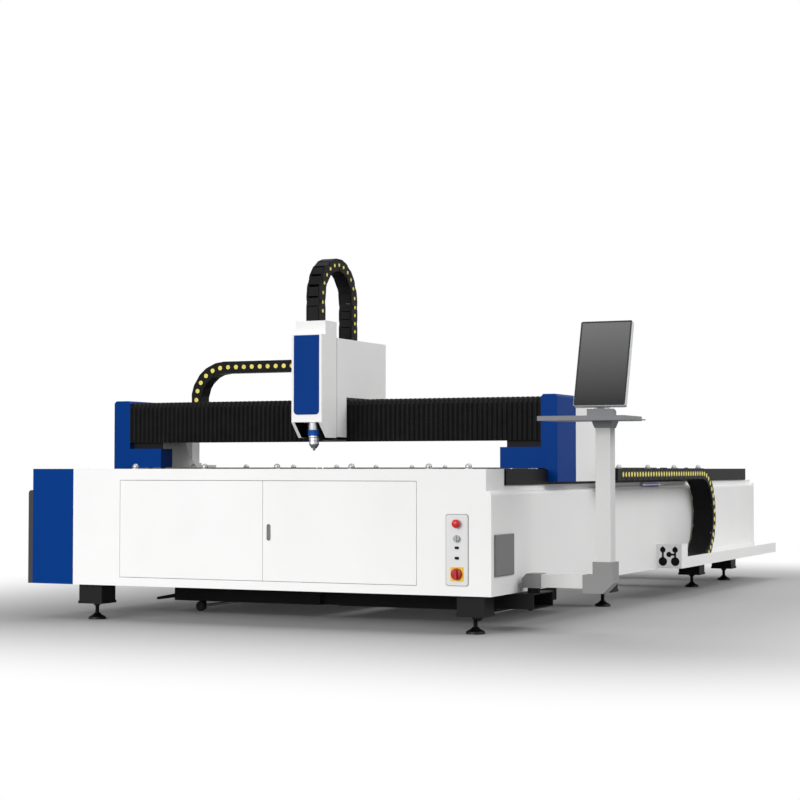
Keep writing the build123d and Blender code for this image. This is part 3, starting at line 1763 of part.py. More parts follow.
# Monitor: leaning housing with two hinge ears at its foot, and the screen
screen_plane = Plane(
    origin=(column_x, front_y + monitor_front, monitor_bottom),
    x_dir=(1, 0, 0),
    z_dir=(0, -math.cos(lean), math.sin(lean)),
)
with BuildPart() as monitor_housing:
    monitor_outline = rounded_outline((0, monitor_height / 2), monitor_width, monitor_height, monitor_radius)
    prism(screen_plane, monitor_outline, -monitor_thickness)
    for ear_x in (
        column_x - hinge_knuckle / 2 - running_gap - hinge_knuckle / 2,
        column_x + hinge_knuckle / 2 + running_gap,
    ):
        with BuildSketch(side_view(ear_x)):
            with Locations((monitor_pivot_y, monitor_pivot_z)):
                RegularPolygon(hinge_radius, round_sides)
            back_y = front_y + monitor_front + monitor_thickness * math.cos(lean)
            back_z = monitor_bottom - monitor_thickness * math.sin(lean)
            up_y = hinge_radius * math.sin(lean)
            up_z = hinge_radius * math.cos(lean)
            Polygon(
                (back_y, back_z),
                (monitor_pivot_y, monitor_pivot_z),
                (monitor_pivot_y + up_y, monitor_pivot_z + up_z),
                (back_y + up_y, back_z + up_z),
                align=None,
            )
        extrude(amount=hinge_knuckle / 2)
    with BuildSketch(screen_plane):
        with Locations((0, monitor_height / 2)):
            Rectangle(monitor_width - 2 * monitor_bezel, monitor_height - 2 * monitor_bezel)
    extrude(amount=-screen_thickness, mode=Mode.SUBTRACT)
save(monitor_housing, "monitor_housing")

with BuildPart() as screen:
    with BuildSketch(screen_plane.offset(-screen_thickness)):
        with Locations((0, monitor_height / 2)):
            Rectangle(
                monitor_width - 2 * monitor_bezel - 2 * running_gap,
                monitor_height - 2 * monitor_bezel - 2 * running_gap,
            )
    extrude(amount=screen_thickness)
save(screen, "screen")
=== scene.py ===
import math

import bmesh
import bpy
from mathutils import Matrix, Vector


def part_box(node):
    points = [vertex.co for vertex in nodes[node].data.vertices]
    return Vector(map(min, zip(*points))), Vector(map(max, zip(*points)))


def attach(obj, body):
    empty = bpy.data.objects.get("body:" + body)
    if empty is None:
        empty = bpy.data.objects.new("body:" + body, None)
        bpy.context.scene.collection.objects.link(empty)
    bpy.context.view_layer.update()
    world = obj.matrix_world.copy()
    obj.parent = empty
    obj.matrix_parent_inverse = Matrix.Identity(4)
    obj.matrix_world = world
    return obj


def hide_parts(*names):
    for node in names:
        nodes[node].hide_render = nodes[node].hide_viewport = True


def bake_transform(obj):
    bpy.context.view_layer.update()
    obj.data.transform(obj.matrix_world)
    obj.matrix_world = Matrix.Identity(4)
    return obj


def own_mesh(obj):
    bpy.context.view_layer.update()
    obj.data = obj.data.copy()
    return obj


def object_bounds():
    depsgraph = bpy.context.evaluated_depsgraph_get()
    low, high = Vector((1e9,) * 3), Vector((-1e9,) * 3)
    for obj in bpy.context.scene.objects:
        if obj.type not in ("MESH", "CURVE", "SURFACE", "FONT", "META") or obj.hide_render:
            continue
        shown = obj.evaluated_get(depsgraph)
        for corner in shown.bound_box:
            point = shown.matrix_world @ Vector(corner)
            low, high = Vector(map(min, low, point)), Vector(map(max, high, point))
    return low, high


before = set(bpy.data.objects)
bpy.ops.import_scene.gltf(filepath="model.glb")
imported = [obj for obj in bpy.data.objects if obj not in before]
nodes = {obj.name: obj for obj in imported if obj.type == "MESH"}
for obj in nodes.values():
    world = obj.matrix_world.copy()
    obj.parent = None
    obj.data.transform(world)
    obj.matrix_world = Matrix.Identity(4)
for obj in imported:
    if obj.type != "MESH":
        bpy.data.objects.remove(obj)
cad_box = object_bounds()
scene = bpy.context.scene


# Materials; a grain is a noise scale and its detail, a relief its strength and its depth
RAMP_ENDS = (0.3, 0.7)
COAT_DRIFT = (1.6, 3)
COAT_TONES = (0.97, 1.02)
PEEL_GRAIN = (420, 2)
PEEL_RELIEF = (0.06, 0.0004)
PEEL_SPREAD = 0.05
LOWER_TONES = (0.9, 1.1)
PLASTIC_SPREAD = 0.07
# screen tones: the dark glass, and the painted reflection towards its top
SCREEN_DARK = (0.036, 0.036, 0.037)
SCREEN_REFLECTION_TONE = (0.190, 0.190, 0.192)


def new_material(name):
    """Node material with its tree and its shader."""
    material = bpy.data.materials.new(name)
    material.use_nodes = True
    return material, material.node_tree, material.node_tree.nodes["Principled BSDF"]


def grain(tree, scale, detail, stretch=(1, 1, 1)):
    """Noise in object coordinates, stretched for brushed surfaces."""
    coordinates = tree.nodes.new("ShaderNodeTexCoord")
    mapping = tree.nodes.new("ShaderNodeMapping")
    mapping.inputs["Scale"].default_value = stretch
    noise = tree.nodes.new("ShaderNodeTexNoise")
    noise.inputs["Scale"].default_value = scale
    noise.inputs["Detail"].default_value = detail
    tree.links.new(coordinates.outputs["Object"], mapping.inputs["Vector"])
    tree.links.new(mapping.outputs["Vector"], noise.inputs["Vector"])
    return noise


def two_tone(tree, noise, dark, light):
    """Colour that drifts between two tones with the noise."""
    ramp = tree.nodes.new("ShaderNodeValToRGB")
    for stop, position, colour in zip(ramp.color_ramp.elements, RAMP_ENDS, (dark, light)):
        stop.position = position
        stop.color = (*colour, 1)
    tree.links.new(noise.outputs["Fac"], ramp.inputs["Fac"])
    return ramp.outputs["Color"]


def tint(tree, shader, noise, dark, light):
    """Base colour in two drifting tones."""
    tree.links.new(two_tone(tree, noise, dark, light), shader.inputs["Base Color"])


def roughen(tree, shader, noise, low, high):
    """Roughness that varies between two values with the noise."""
    spread = tree.nodes.new("ShaderNodeMapRange")
    spread.inputs["To Min"].default_value = low
    spread.inputs["To Max"].default_value = high
    tree.links.new(noise.outputs["Fac"], spread.inputs["Value"])
    tree.links.new(spread.outputs["Result"], shader.inputs["Roughness"])


def emboss(tree, shader, noise, strength, distance):
    """Fine relief from the noise."""
    bump = tree.nodes.new("ShaderNodeBump")
    bump.inputs["Strength"].default_value = strength
    bump.inputs["Distance"].default_value = distance
    tree.links.new(noise.outputs["Fac"], bump.inputs["Height"])
    tree.links.new(bump.outputs["Normal"], shader.inputs["Normal"])


def object_height(tree):
    """Height above the floor of the shaded point."""
    coordinates = tree.nodes.new("ShaderNodeTexCoord")
    split = tree.nodes.new("ShaderNodeSeparateXYZ")
    tree.links.new(coordinates.outputs["Object"], split.inputs["Vector"])
    return split.outputs["Z"]


def shades(colour, factors):
    """Darker and lighter tone of a colour."""
    return [tuple(min(1.0, channel * factor) for channel in colour) for factor in factors]


def texture(tree, shader, fine, roughness, relief):
    """Fine grain that varies the roughness and gives a small relief."""
    noise = grain(tree, *fine)
    roughen(tree, shader, noise, *roughness)
    emboss(tree, shader, noise, *relief)


def surface(name, colour, drift, tones, fine, roughness, relief, gloss=0.5):
    """Material with a slow drift in tone and a fine texture."""
    material, tree, shader = new_material(name)
    tint(tree, shader, grain(tree, *drift), *shades(colour, tones))
    texture(tree, shader, fine, roughness, relief)
    shader.inputs["Specular IOR Level"].default_value = gloss
    return material


def powder_coat(name, colour, roughness=0.45, gloss=0.12):
    """Powder coat: faint drift in tone and an orange-peel texture."""
    spread = (roughness - PEEL_SPREAD, roughness + PEEL_SPREAD)
    return surface(name, colour, COAT_DRIFT, COAT_TONES, PEEL_GRAIN, spread, PEEL_RELIEF, gloss)


def split_coat(name, upper, lower, level, roughness=(0.4, 0.5), gloss=0.05):
    """Powder coat in one colour above a level and another below it."""
    material, tree, shader = new_material(name)
    drift = grain(tree, *COAT_DRIFT)
    above = two_tone(tree, drift, *shades(upper, COAT_TONES))
    below = two_tone(tree, drift, *shades(lower, LOWER_TONES))
    edge = tree.nodes.new("ShaderNodeMath")
    edge.operation = "GREATER_THAN"
    edge.inputs[1].default_value = level
    tree.links.new(object_height(tree), edge.inputs[0])
    mix = tree.nodes.new("ShaderNodeMixRGB")
    tree.links.new(edge.outputs["Value"], mix.inputs["Fac"])
    tree.links.new(below, mix.inputs["Color1"])
    tree.links.new(above, mix.inputs["Color2"])
    tree.links.new(mix.outputs["Color"], shader.inputs["Base Color"])
    texture(tree, shader, PEEL_GRAIN, roughness, PEEL_RELIEF)
    shader.inputs["Specular IOR Level"].default_value = gloss
    return material


def plastic(name, colour, roughness=0.5, texture_strength=0.12, gloss=0.3):
    """Moulded plastic with a fine spark-eroded texture."""
    spread = (roughness - PLASTIC_SPREAD, roughness + PLASTIC_SPREAD)
    return surface(
        name, colour, drift=(9, 3), tones=(0.88, 1.1), fine=(900, 2), roughness=spread,
        relief=(texture_strength, 0.0003), gloss=gloss,
    )


def metal(name, colour, roughness=0.3, stretch=(1, 1, 40), scale=60):
    """Machined metal with fine lines along one direction, or an even grain."""
    material, tree, shader = new_material(name)
    shader.inputs["Metallic"].default_value = 1.0
    lines = grain(tree, scale, detail=5, stretch=stretch)
    tint(tree, shader, lines, *shades(colour, (0.86, 1.08)))
    roughen(tree, shader, lines, low=roughness - 0.08, high=roughness + 0.1)
    emboss(tree, shader, lines, strength=0.08, distance=0.0003)
    return material


def casting(name, colour):
    """Painted casting with a coarse sand texture."""
    return surface(
        name, colour, drift=(5, 4), tones=(0.88, 1.1), fine=(160, 6), roughness=(0.5, 0.7),
        relief=(0.3, 0.0012),
    )


def coated_fabric(name, colour):
    """Coated bellows cloth with a small weave."""
    return surface(
        name, colour, drift=(14, 4), tones=(0.75, 1.25), fine=(700, 2), roughness=(0.6, 0.8),
        relief=(0.25, 0.0004), gloss=0.1,
    )


def screen_glass(name, low, high, gloss=0.06):
    """Dark display with a painted reflection that makes it lighter towards its top."""
    material, tree, shader = new_material(name)
    height = tree.nodes.new("ShaderNodeMapRange")
    height.inputs["From Min"].default_value = low
    height.inputs["From Max"].default_value = high
    ramp = tree.nodes.new("ShaderNodeValToRGB")
    ramp.color_ramp.elements[0].color = (*SCREEN_DARK, 1)
    ramp.color_ramp.elements[1].color = (*SCREEN_REFLECTION_TONE, 1)
    tree.links.new(object_height(tree), height.inputs["Value"])
    tree.links.new(height.outputs["Result"], ramp.inputs["Fac"])
    tree.links.new(ramp.outputs["Color"], shader.inputs["Base Color"])
    roughen(tree, shader, grain(tree, scale=300, detail=2), low=0.32, high=0.42)
    shader.inputs["Specular IOR Level"].default_value = gloss
    return material


WHITE = (0.90, 0.90, 0.895)
DARK = (0.017, 0.017, 0.0175)
COAT_EDGE = 0.001
EVEN = (1, 1, 1)
bed_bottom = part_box("front_cabinet")[0].z
screen_low, screen_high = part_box("screen")
white = powder_coat("white_powder_coat", WHITE)
column_white = powder_coat("column_white", (0.70, 0.70, 0.695))
blue = powder_coat("blue_powder_coat", (0.0024, 0.041, 0.226), 0.4, gloss=0.02)
frame_coat = split_coat("bed_frame_coat", WHITE, DARK, bed_bottom + COAT_EDGE)
dark_coat = powder_coat("dark_powder_coat", DARK, 0.5, gloss=0.05)
guard_grey = powder_coat("guard_grey", (0.060, 0.060, 0.062), 0.5, gloss=0.05)
plate_grey = powder_coat("plate_grey", (0.21, 0.21, 0.212), 0.5)
elbow_grey = powder_coat("elbow_grey", (0.27, 0.27, 0.268), 0.45)
tray_grey = powder_coat("tray_grey", (0.235, 0.24, 0.25), 0.45)
beam_grey = powder_coat("beam_grey", (0.26, 0.27, 0.29), 0.45)
table_grey = powder_coat("table_grey", (0.34, 0.35, 0.36), 0.45)
bezel_silver = powder_coat("bezel_silver", (0.72, 0.73, 0.74), 0.35)
panel_white = powder_coat("panel_white", (0.76, 0.76, 0.765), 0.38)
saddle_grey = casting("saddle_grey", (0.66, 0.66, 0.65))
motor_grey = casting("motor_grey", (0.56, 0.56, 0.555))
ground_steel = metal("ground_steel", (0.52, 0.53, 0.55))
black_steel = powder_coat("black_oxide_steel", (0.015, 0.0145, 0.0145), 0.5, gloss=0.04)
foot_black = metal("foot_black", (0.022, 0.022, 0.023), 0.45, EVEN, 40)
slat_steel = metal("slat_steel", (0.085, 0.082, 0.078), 0.55, (1, 1, 3), 25)
anodised = metal("anodised_aluminium", (0.62, 0.62, 0.66), 0.32)
copper = metal("nozzle_copper", (0.72, 0.55, 0.42), 0.28)
lilac = metal("lilac_anodised", (0.42, 0.36, 0.60), 0.34)
ball_steel = metal("ball_steel", (0.44, 0.44, 0.445), 0.45, EVEN, 30)
cup_steel = metal("cup_steel", (0.26, 0.26, 0.265), 0.45, EVEN, 30)
bellows_cloth = coated_fabric("bellows_cloth", (0.0095, 0.0095, 0.0098))
chain_black = plastic("chain_black", (0.0115, 0.0115, 0.012), 0.5, gloss=0.05)
chain_yellow = plastic("chain_yellow", (0.88, 0.74, 0.15), 0.45, 0.05)
black_plastic = plastic("black_plastic", (0.008, 0.008, 0.0085), 0.5, gloss=0.08)
rubber = plastic("wheel_rubber", (0.02, 0.02, 0.02), 0.75, 0.3)
ring_blue = plastic("blue_anodised_ring", (0.011, 0.085, 0.42), 0.4, 0.04, gloss=0.1)
red = plastic("red_plastic", (0.58, 0.018, 0.020), 0.3, 0.04)
dark_red = plastic("dark_red_plastic", (0.40, 0.010, 0.012), 0.32, 0.04)
yellow = plastic("yellow_plastic", (0.80, 0.52, 0.02), 0.38, 0.04)
knob_grey = plastic("knob_grey", (0.42, 0.42, 0.43), 0.4)
pull_grey = plastic("pull_grey", (0.16, 0.16, 0.162), 0.45)
display = screen_glass("screen_glass", screen_low.z, screen_high.z)
bezel_dark = powder_coat("bezel_dark", (0.050, 0.050, 0.051), 0.35, gloss=0.05)

NODE_MATERIALS = {
    white: [
        "front_cabinet", "bed_covers", "chain_tray", "left_door", "right_door", "rear_housings",
        "carriage_housing", "front_cover",
    ],
    column_white: ["arm_tubes"],
    blue: ["left_end_cabinet", "end_covers", "head_panel"],
    ring_blue: ["sensor_ring"],
    frame_coat: ["bed_frame"],
    dark_coat: ["console_bracket", "slag_cart", "chain_brackets"],
    guard_grey: ["left_guard"],
    plate_grey: ["side_plate"],
    elbow_grey: ["arm_elbows"],
    tray_grey: ["console_tray"],
    beam_grey: ["gantry_beam", "laser_source"],
    table_grey: ["table_frame"],
    bezel_silver: ["monitor_housing"],
    panel_white: ["control_plate"],
    saddle_grey: ["gantry_saddles"],
    motor_grey: ["y_motors"],
    black_steel: ["rail_beams", "x_guide_rails"],
    ground_steel: ["guide_rails", "guide_blocks", "left_pinion", "right_pinion", "x_pinion"],
    foot_black: ["levelling_feet"],
    slat_steel: ["slats"],
    anodised: ["z_base_plate", "head_plate", "cutting_head", "z_screw"],
    lilac: ["side_cylinder"],
    ball_steel: ["ball_transfers"],
    bellows_cloth: ["bellows"],
    chain_black: ["y_chain_runs", "y_chain_loop", "x_chain_runs", "x_chain_loop", "z_chain"],
    black_plastic: ["carriage_motors", "carriage_plate", "electrical_panel"],
    rubber: ["front_wheels", "rear_wheels"],
    red: ["emergency_button"],
    dark_red: ["main_switch"],
    yellow: ["switch_plate"],
    knob_grey: ["key_switch"],
    pull_grey: ["door_pull"],
    display: ["screen"],
}
for material, names in NODE_MATERIALS.items():
    for name in names:
        nodes[name].data.materials.clear()
        nodes[name].data.materials.append(material)


# Camera at the photograph's viewing angle
CAMERA_RIGHT = 3.465
CAMERA_AHEAD = 8.740
CAMERA_HEIGHT = 0.853
CAMERA_YAW = 0.4267
CAMERA_PITCH = 0.0368
CAMERA_LENS = 83.07
SENSOR_WIDTH = 36
CAMERA_REACH = 200
cabinet_low, cabinet_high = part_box("front_cabinet")
camera_data = bpy.data.cameras.new("camera")
camera_data.lens = CAMERA_LENS
camera_data.sensor_width = SENSOR_WIDTH
camera_data.clip_end = CAMERA_REACH
camera = bpy.data.objects.new("camera", camera_data)
camera.location = (cabinet_high.x + CAMERA_RIGHT, cabinet_low.y - CAMERA_AHEAD, CAMERA_HEIGHT)
camera.rotation_euler = (math.pi / 2 + CAMERA_PITCH, 0, CAMERA_YAW)
scene.collection.objects.link(camera)
scene.camera = camera
scene.view_settings.view_transform = "Standard"


# Floor, background and light
FLOOR_SIZE = 160
FLOOR_GREY = 0.42
FLOOR_DRIFT = 0.01
FLOOR_GRAIN = (0.5, 2)
FLOOR_ROUGHNESS = 0.8
FLOOR_GLOSS = 0.1
# reach of the painted shade around the footprint, and the faint painted glow that lightens it
FLOOR_SHADE_REACH = 2.7
FLOOR_GLOW_LIFT = 0.03
WORLD_LIGHT = 0.50


def math_node(tree, operation, first, second=None):
    """Arithmetic on two values or sockets."""
    node = tree.nodes.new("ShaderNodeMath")
    node.operation = operation
    for socket, value in zip(node.inputs, (first, second)):
        if isinstance(value, (int, float)):
            socket.default_value = value
        elif value is not None:
            tree.links.new(value, socket)
    return node.outputs["Value"]


def seen_directly(tree):
    """One for what the camera, a reflection or a clear material sees."""
    paths = tree.nodes.new("ShaderNodeLightPath")
    mirrored = math_node(
        tree, "MAXIMUM", paths.outputs["Is Glossy Ray"], paths.outputs["Is Transmission Ray"]
    )
    return math_node(tree, "MAXIMUM", paths.outputs["Is Camera Ray"], mirrored)


def floor_material():
    """Floor with painted shade: grey near the object, where it also keeps the real shadow, turning to
    white glow away from it.
    """
    material, tree, shader = new_material("floor")
    dark, light = (FLOOR_GREY - FLOOR_DRIFT,) * 3, (FLOOR_GREY + FLOOR_DRIFT,) * 3
    tint(tree, shader, grain(tree, *FLOOR_GRAIN), dark, light)
    shader.inputs["Roughness"].default_value = FLOOR_ROUGHNESS
    shader.inputs["Specular IOR Level"].default_value = FLOOR_GLOSS
    coordinates = tree.nodes.new("ShaderNodeTexCoord")
    split = tree.nodes.new("ShaderNodeSeparateXYZ")
    tree.links.new(coordinates.outputs["Object"], split.inputs["Vector"])
    beyond = []
    for axis, half_size in zip("XY", cad_box[1]):
        away = math_node(tree, "ABSOLUTE", split.outputs[axis])
        outside = math_node(tree, "SUBTRACT", away, half_size)
        outside = math_node(tree, "MAXIMUM", outside, 0.0)
        beyond.append(math_node(tree, "MULTIPLY", outside, outside))
    distance = math_node(tree, "SQRT", math_node(tree, "ADD", *beyond))
    # painted shade: grey near the footprint mixing into white glow with distance; the lift adds a faint
    # painted glow over the shadow
    shade_fade = tree.nodes.new("ShaderNodeMapRange")
    shade_fade.interpolation_type = "SMOOTHSTEP"
    shade_fade.inputs["From Max"].default_value = FLOOR_SHADE_REACH
    shade_fade.inputs["To Min"].default_value = FLOOR_GLOW_LIFT
    tree.links.new(distance, shade_fade.inputs["Value"])
    glow = tree.nodes.new("ShaderNodeEmission")
    tree.links.new(seen_directly(tree), glow.inputs["Strength"])
    blend = tree.nodes.new("ShaderNodeMixShader")
    tree.links.new(shade_fade.outputs["Result"], blend.inputs["Fac"])
    tree.links.new(shader.outputs["BSDF"], blend.inputs[1])
    tree.links.new(glow.outputs["Emission"], blend.inputs[2])
    tree.links.new(blend.outputs["Shader"], tree.nodes["Material Output"].inputs["Surface"])
    return material


half = FLOOR_SIZE / 2
floor_mesh = bpy.data.meshes.new("floor")
corners = [(-half, -half, 0), (half, -half, 0), (half, half, 0), (-half, half, 0)]
floor_mesh.from_pydata(corners, [], [(0, 1, 2, 3)])
floor_mesh.materials.append(floor_material())
floor = bpy.data.objects.new("floor", floor_mesh)
scene.collection.objects.link(floor)

world = bpy.data.worlds.new("studio")
scene.world = world
world.use_nodes = True
sky = world.node_tree.nodes["Background"]
sky.inputs["Color"].default_value = (1, 1, 1, 1)
sky_level = world.node_tree.nodes.new("ShaderNodeMapRange")
sky_level.inputs["To Min"].default_value = WORLD_LIGHT
world.node_tree.links.new(seen_directly(world.node_tree), sky_level.inputs["Value"])
world.node_tree.links.new(sky_level.outputs["Result"], sky.inputs["Strength"])


def area_light(name, place, target, size, power):
    """Soft rectangular lamp aimed at a point."""
    data = bpy.data.lights.new(name, "AREA")
    data.shape = "RECTANGLE"
    data.size, data.size_y = size
    data.energy = power
    lamp = bpy.data.objects.new(name, data)
    lamp.location = place
    lamp.rotation_euler = (Vector(target) - Vector(place)).to_track_quat("-Z", "Y").to_euler()
    scene.collection.objects.link(lamp)


front_y = cabinet_low.y
area_light("key", place=(-2.2, front_y - 8.0, 2.8), target=(-0.3, front_y, 0.8), size=(6, 4), power=560)
area_light("right_fill", place=(8.0, -0.5, 5.5), target=(0.5, -0.5, 0.9), size=(8, 4), power=350)
area_light("top", place=(0, 3.0, 8.5), target=(0, 0.3, 0), size=(6, 8), power=250)


# Piece making
BEVEL_ANGLE = 35
SHARP_ANGLE = 35
WIDE_SHARP_ANGLE = 40


def piece(name, builder, materials, sharp_angle=None):
    """Object from a mesh builder, with its materials."""
    mesh = bpy.data.meshes.new(name)
    shape = bmesh.new()
    builder(shape)
    bmesh.ops.recalc_face_normals(shape, faces=shape.faces)
    for face in shape.faces:
        face.smooth = sharp_angle is not None
    shape.to_mesh(mesh)
    shape.free()
    if sharp_angle is not None:
        mesh.set_sharp_from_angle(angle=math.radians(sharp_angle))
    for material in materials:
        mesh.materials.append(material)
    obj = bpy.data.objects.new(name, mesh)
    scene.collection.objects.link(obj)
    return obj


def soften(obj, width, segments=2):
    """Bevel that rounds the hard edges of a piece or a node."""
    bevel = obj.modifiers.new("soft_edges", "BEVEL")
    bevel.width = width
    bevel.segments = segments
    bevel.limit_method = "ANGLE"
    bevel.angle_limit = math.radians(BEVEL_ANGLE)


def box_of(points):
    """Low and high corner of some points."""
    low = Vector([min(point[axis] for point in points) for axis in range(3)])
    high = Vector([max(point[axis] for point in points) for axis in range(3)])
    return low, high


IN_PLAN = Vector((1, 1, 0))
LENGTHWISE = Vector((0, 1, 0))


def islands(node, reach, axes=IN_PLAN):
    """Boxes of the separate solids of a node, told apart by their distance along some axes."""
    groups = []
    for vertex in nodes[node].data.vertices:
        for group in groups:
            if ((group[0] - vertex.co) * axes).length < reach:
                group.append(vertex.co.copy())
                break
        else:
            groups.append([vertex.co.copy()])
    return [box_of(group) for group in groups]


AXES = {
    "up": (Vector((1, 0, 0)), Vector((0, 1, 0)), Vector((0, 0, 1))),
    "front": (Vector((1, 0, 0)), Vector((0, 0, 1)), Vector((0, -1, 0))),
    "rear": (Vector((1, 0, 0)), Vector((0, 0, 1)), Vector((0, 1, 0))),
}


def lathe(shape, profile, centre, axis="up", segments=28, material=0):
    """Round body from (radius, height) steps along an axis; a zero radius closes an end."""
    across, over, along = AXES[axis]
    rings = []
    for radius, height in profile:
        middle = Vector(centre) + along * height
        if radius == 0:
            rings.append([shape.verts.new(middle)])
            continue
        ring = []
        for index in range(segments):
            turn = math.tau * index / segments
            offset = across * math.cos(turn) + over * math.sin(turn)
            ring.append(shape.verts.new(middle + offset * radius))
        rings.append(ring)
    for lower, upper in zip(rings, rings[1:]):
        for index in range(segments):
            after = (index + 1) % segments
            corners = [lower[index % len(lower)], lower[after % len(lower)]]
            corners += [upper[after % len(upper)], upper[index % len(upper)]]
            face = shape.faces.new(list(dict.fromkeys(corners)))
            face.material_index = material


def scaled(shares, radius, height=1.0):
    """Lathe profile from shares of a radius and of a height."""
    return [(ring * radius, level * height) for ring, level in shares]


def raised(profile, base):
    """Lathe profile lifted to a level."""
    return [(ring, base + level) for ring, level in profile]


def both_ends(half, low, high):
    """Lathe profile that starts and ends with the same half."""
    return raised(half, low) + [(ring, high - level) for ring, level in reversed(half)]


def plate(shape, outline, place, low, high, material=0):
    """Flat plate: a 2-D outline pushed from one level to another; place(u, v, w) gives its points."""
    rims = [[shape.verts.new(place(u, v, level)) for u, v in outline] for level in (low, high)]
    faces = [shape.faces.new(rims[0][::-1]), shape.faces.new(rims[1])]
    for index in range(len(outline)):
        after = (index + 1) % len(outline)
        faces.append(shape.faces.new((rims[0][index], rims[0][after], rims[1][after], rims[1][index])))
    for face in faces:
        face.material_index = material


def arc_points(centre, radius, count, start, sweep):
    """Points along an arc in a plane, both ends included."""
    return [
        Vector(centre) + radius * Vector((math.cos(turn), math.sin(turn)))
        for turn in (start + sweep * index / (count - 1) for index in range(count))
    ]


def in_yz(u, v, w):
    """Plane across X: first value along Y, second along Z."""
    return Vector((w, u, v))


def in_xz(u, v, w):
    """Plane across Y: first value along X, second along Z."""
    return Vector((u, w, v))


# Drag chains: overlapping side plates, cross bars and yellow pin caps
LINK_HEIGHT = 0.072
HALF_LINK = LINK_HEIGHT / 2
LINK_PITCH = 0.058
PLATE_THICKNESS = 0.009
PLATE_OFFSET = 0.003
LONG_PIN = 0.0155
CROSS_PIN = 0.014
LIFT_PIN = 0.0105
PIN_PROUD = 0.001
PIN_SIDES = 14
BAR_THICKNESS = 0.006
BAR_GAP = 0.05
LOOP_INSET = 0.0008
ROUND_STEPS = 7


def along_line(start, end, count):
    """Joints of a straight run."""
    return [start.lerp(end, index / count) for index in range(count + 1)]


def links_in(length):
    """Whole number of links in a length."""
    return max(1, round(length / LINK_PITCH))


def chain_builder(joints, place, span, pin_radius, inward, flat_ends):
    """Mesh builder for a chain through its joints, in the plane that place() maps."""
    inner = PIN_PROUD + PLATE_OFFSET + PLATE_THICKNESS + inward
    last = len(joints) - 2

    def build(shape):
        for index, (start, end) in enumerate(zip(joints, joints[1:])):
            step = end - start
            rise = Vector((-step.y, step.x)).normalized()
            heading = math.atan2(step.y, step.x)
            flat_start = index == 0 and flat_ends[0]
            flat_end = index == last and flat_ends[1]
            reach = step.normalized() * HALF_LINK
            if flat_end:
                outline = [end + reach - rise * HALF_LINK, end + reach + rise * HALF_LINK]
            else:
                outline = arc_points(end, HALF_LINK, ROUND_STEPS, heading - math.pi / 2, math.pi)
            if flat_start:
                outline += [start - reach + rise * HALF_LINK, start - reach - rise * HALF_LINK]
            else:
                outline += arc_points(start, HALF_LINK, ROUND_STEPS, heading + math.pi / 2, math.pi)
            inset = PIN_PROUD + PLATE_OFFSET * (index % 2) + inward
            plate(shape, outline, place, span[0] + inset, span[0] + inset + PLATE_THICKNESS)
            plate(shape, outline, place, span[1] - inset - PLATE_THICKNESS, span[1] - inset)
            for side in (-1, 1):
                levels = (side * HALF_LINK, side * (HALF_LINK - BAR_THICKNESS))
                ends = (
                    start - reach if flat_start else start + step * BAR_GAP,
                    end + reach if flat_end else end - step * BAR_GAP,
                )
                bar = [
                    ends[0] + rise * levels[0], ends[1] + rise * levels[0],
                    ends[1] + rise * levels[1], ends[0] + rise * levels[1],
                ]
                plate(shape, bar, place, span[0] + inner, span[1] - inner)
            pin = arc_points(start.lerp(end, 0.5), pin_radius, PIN_SIDES + 1, 0, math.tau)[:-1]
            plate(shape, pin, place, span[0], span[0] + inset, material=1)
            plate(shape, pin, place, span[1] - inset, span[1], material=1)
    return build


def chain(name, joints, place, span, pin_radius, inward=0.0, flat_ends=(False, False)):
    """Drag chain piece; inward keeps the plates of a loop clear of the runs that it meets."""
    builder = chain_builder(joints, place, span, pin_radius, inward, flat_ends)
    return piece(name, builder, [chain_black, chain_yellow])


# Long chain beside the bed
Y_LOWER_RUN = 0.410
Y_LOWER_LINKS = 36
runs_low, runs_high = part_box("y_chain_runs")
turn_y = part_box("y_chain_loop")[0].y
upper_z = runs_high.z - HALF_LINK
lower_z = runs_low.z + HALF_LINK
y_radius = (upper_z - lower_z) / 2
y_span = (runs_low.x, runs_high.x)
start_y = runs_low.y
anchor_y = turn_y - Y_LOWER_RUN
upper_joints = along_line(
    Vector((start_y + HALF_LINK, upper_z)), Vector((turn_y, upper_z)), links_in(turn_y - start_y)
)
y_upper = chain("long_chain_upper_run", upper_joints, in_yz, y_span, LONG_PIN, flat_ends=(True, False))
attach(y_upper, "y_chain_loop")
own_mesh(y_upper)
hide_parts("y_chain_runs")
lower_joints = along_line(
    Vector((anchor_y + HALF_LINK, lower_z)), Vector((turn_y, lower_z)), Y_LOWER_LINKS
)
y_lower = chain("long_chain_lower_run", lower_joints, in_yz, y_span, LONG_PIN, flat_ends=(True, False))
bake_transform(y_lower)
loop_joints = arc_points(
    (turn_y, lower_z + y_radius), y_radius, links_in(math.pi * y_radius) + 1, math.pi / 2, -math.pi
)
y_loop = chain("long_chain_loop", loop_joints, in_yz, y_span, LONG_PIN, LOOP_INSET)
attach(y_loop, "y_chain_loop")
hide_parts("y_chain_loop")

